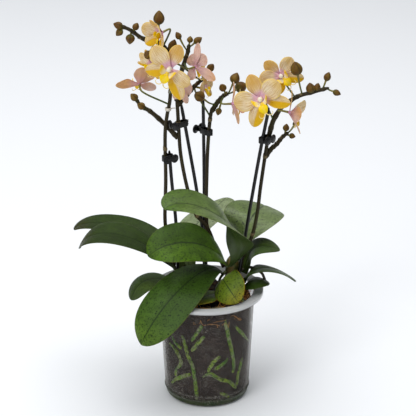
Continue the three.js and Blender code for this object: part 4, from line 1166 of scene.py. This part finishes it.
INNER, WALL, TALL = 2.6, 1.3, 6.0
TAB_ASIDE, TAB_UP, TAB_LEAN = 4.4, 0.6, 0.2
dial = np.stack([np.cos(circle(32)), np.sin(circle(32))], axis=-1)
disc, dish = rounded_prism(4.6 * dial, -0.8, 0.8, 0.35), rounded_prism(2.9 * dial, 0.6, 1.15, 0.25)
for name, clip in CLIPS.items():
    (ax, ay), (bx, by) = clip["rods"]
    span = math.hypot(bx - ax, by - ay)
    ring_path = stadium(INNER + WALL / 2, span, 26)
    nose = unit(np.roll(ring_path, 1, axis=0) - np.roll(ring_path, -1, axis=0))
    outward = np.stack([-nose[:, 1], nose[:, 0]], axis=-1)
    if (outward * ring_path).sum() < 0:
        outward = -outward
    across, rise = WALL / 2 * softened(np.cos(circle(16))), TALL / 2 * softened(np.sin(circle(16)))
    loop = ring_path[:, None] + outward[:, None] * across[:, None]
    loop = np.concatenate([loop, np.broadcast_to(rise[:, None], (*loop.shape[:2], 1))], axis=-1)
    spin = math.radians(clip["tabs"])
    reach = INNER + WALL + abs(math.cos(spin)) * span / 2
    near, far = reach - 0.4, reach + 3.2
    block = rounded_prism([(near, -1.7), (far, -1.7), (far, 1.7), (near, 1.7)], -2.5, 2.5, 0.5)
    skins = [hoop(loop), skin(spun(block, spin))]
    for side in (-1, 1):
        for part in (disc, dish):
            stood = spun(part[..., [2, 1, 0]] * [1, 1, -1], side * TAB_LEAN)
            skins.append(skin(spun(stood + [far, side * TAB_ASIDE, TAB_UP], spin)))
    for k in range(-1, 2):
        tooth = rounded_prism([(-0.2, -0.55), (1.5, -0.35), (1.5, 0.35), (-0.2, 0.55)], -0.5, 0.5, 0.15)
        skins.append(skin(spun(tooth + [reach - 0.2, 0, 2 * k], spin) * [-1, -1, 1]))
    for s in skins:
        s["points"] = spun(s["points"], math.atan2(by - ay, bx - ax))
        s["points"] += [(ax + bx) / 2, (ay + by) / 2, clip["height"]]
    piece(f"claw_clip_{name}", skins, [black_plastic], [f"clip_{name}"])


# ---- Tie: a paper-covered wire wound once round the left spike ----
# White paper over a thin wire, its tail tucked against the next spike.
TIE_PLACE = (-39.9, 12, 317)
tie_paper = finish("tie paper", (232, 228, 218), 0.8)
paint(blend(grain(place(), 900), (240, 238, 232), (206, 194, 170)))
band = np.stack([2.9 + 0.4 * np.cos(circle(14)), 1.6 * np.sin(circle(14))], axis=-1)
ring_skin = hoop(turned(band, 40).transpose(1, 0, 2))
tail = rod([(2.8, 0.5, 0), (5, 1.8, 0.4), (7.3, 2.5, 0)], 0.55, 10, 20)
for s in (ring_skin, tail):
    s["points"] = s["points"] + TIE_PLACE
piece("spike_tie", [ring_skin, tail], [tie_paper], ["tie"])


# ---- Plant tag: a blank slip of matt plastic pushed in behind the leaves ----
# The solid's own shape is right, so it only gets its finish: pale grey, a little dusty.
tag_plastic = finish("tag plastic", (206, 208, 208), 0.55)
paint(blend(grain(place(), 220, 5), (214, 216, 216), (176, 178, 178)))
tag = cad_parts["plant_tag"]
tag.data.materials.clear()
tag.data.materials.append(tag_plastic)
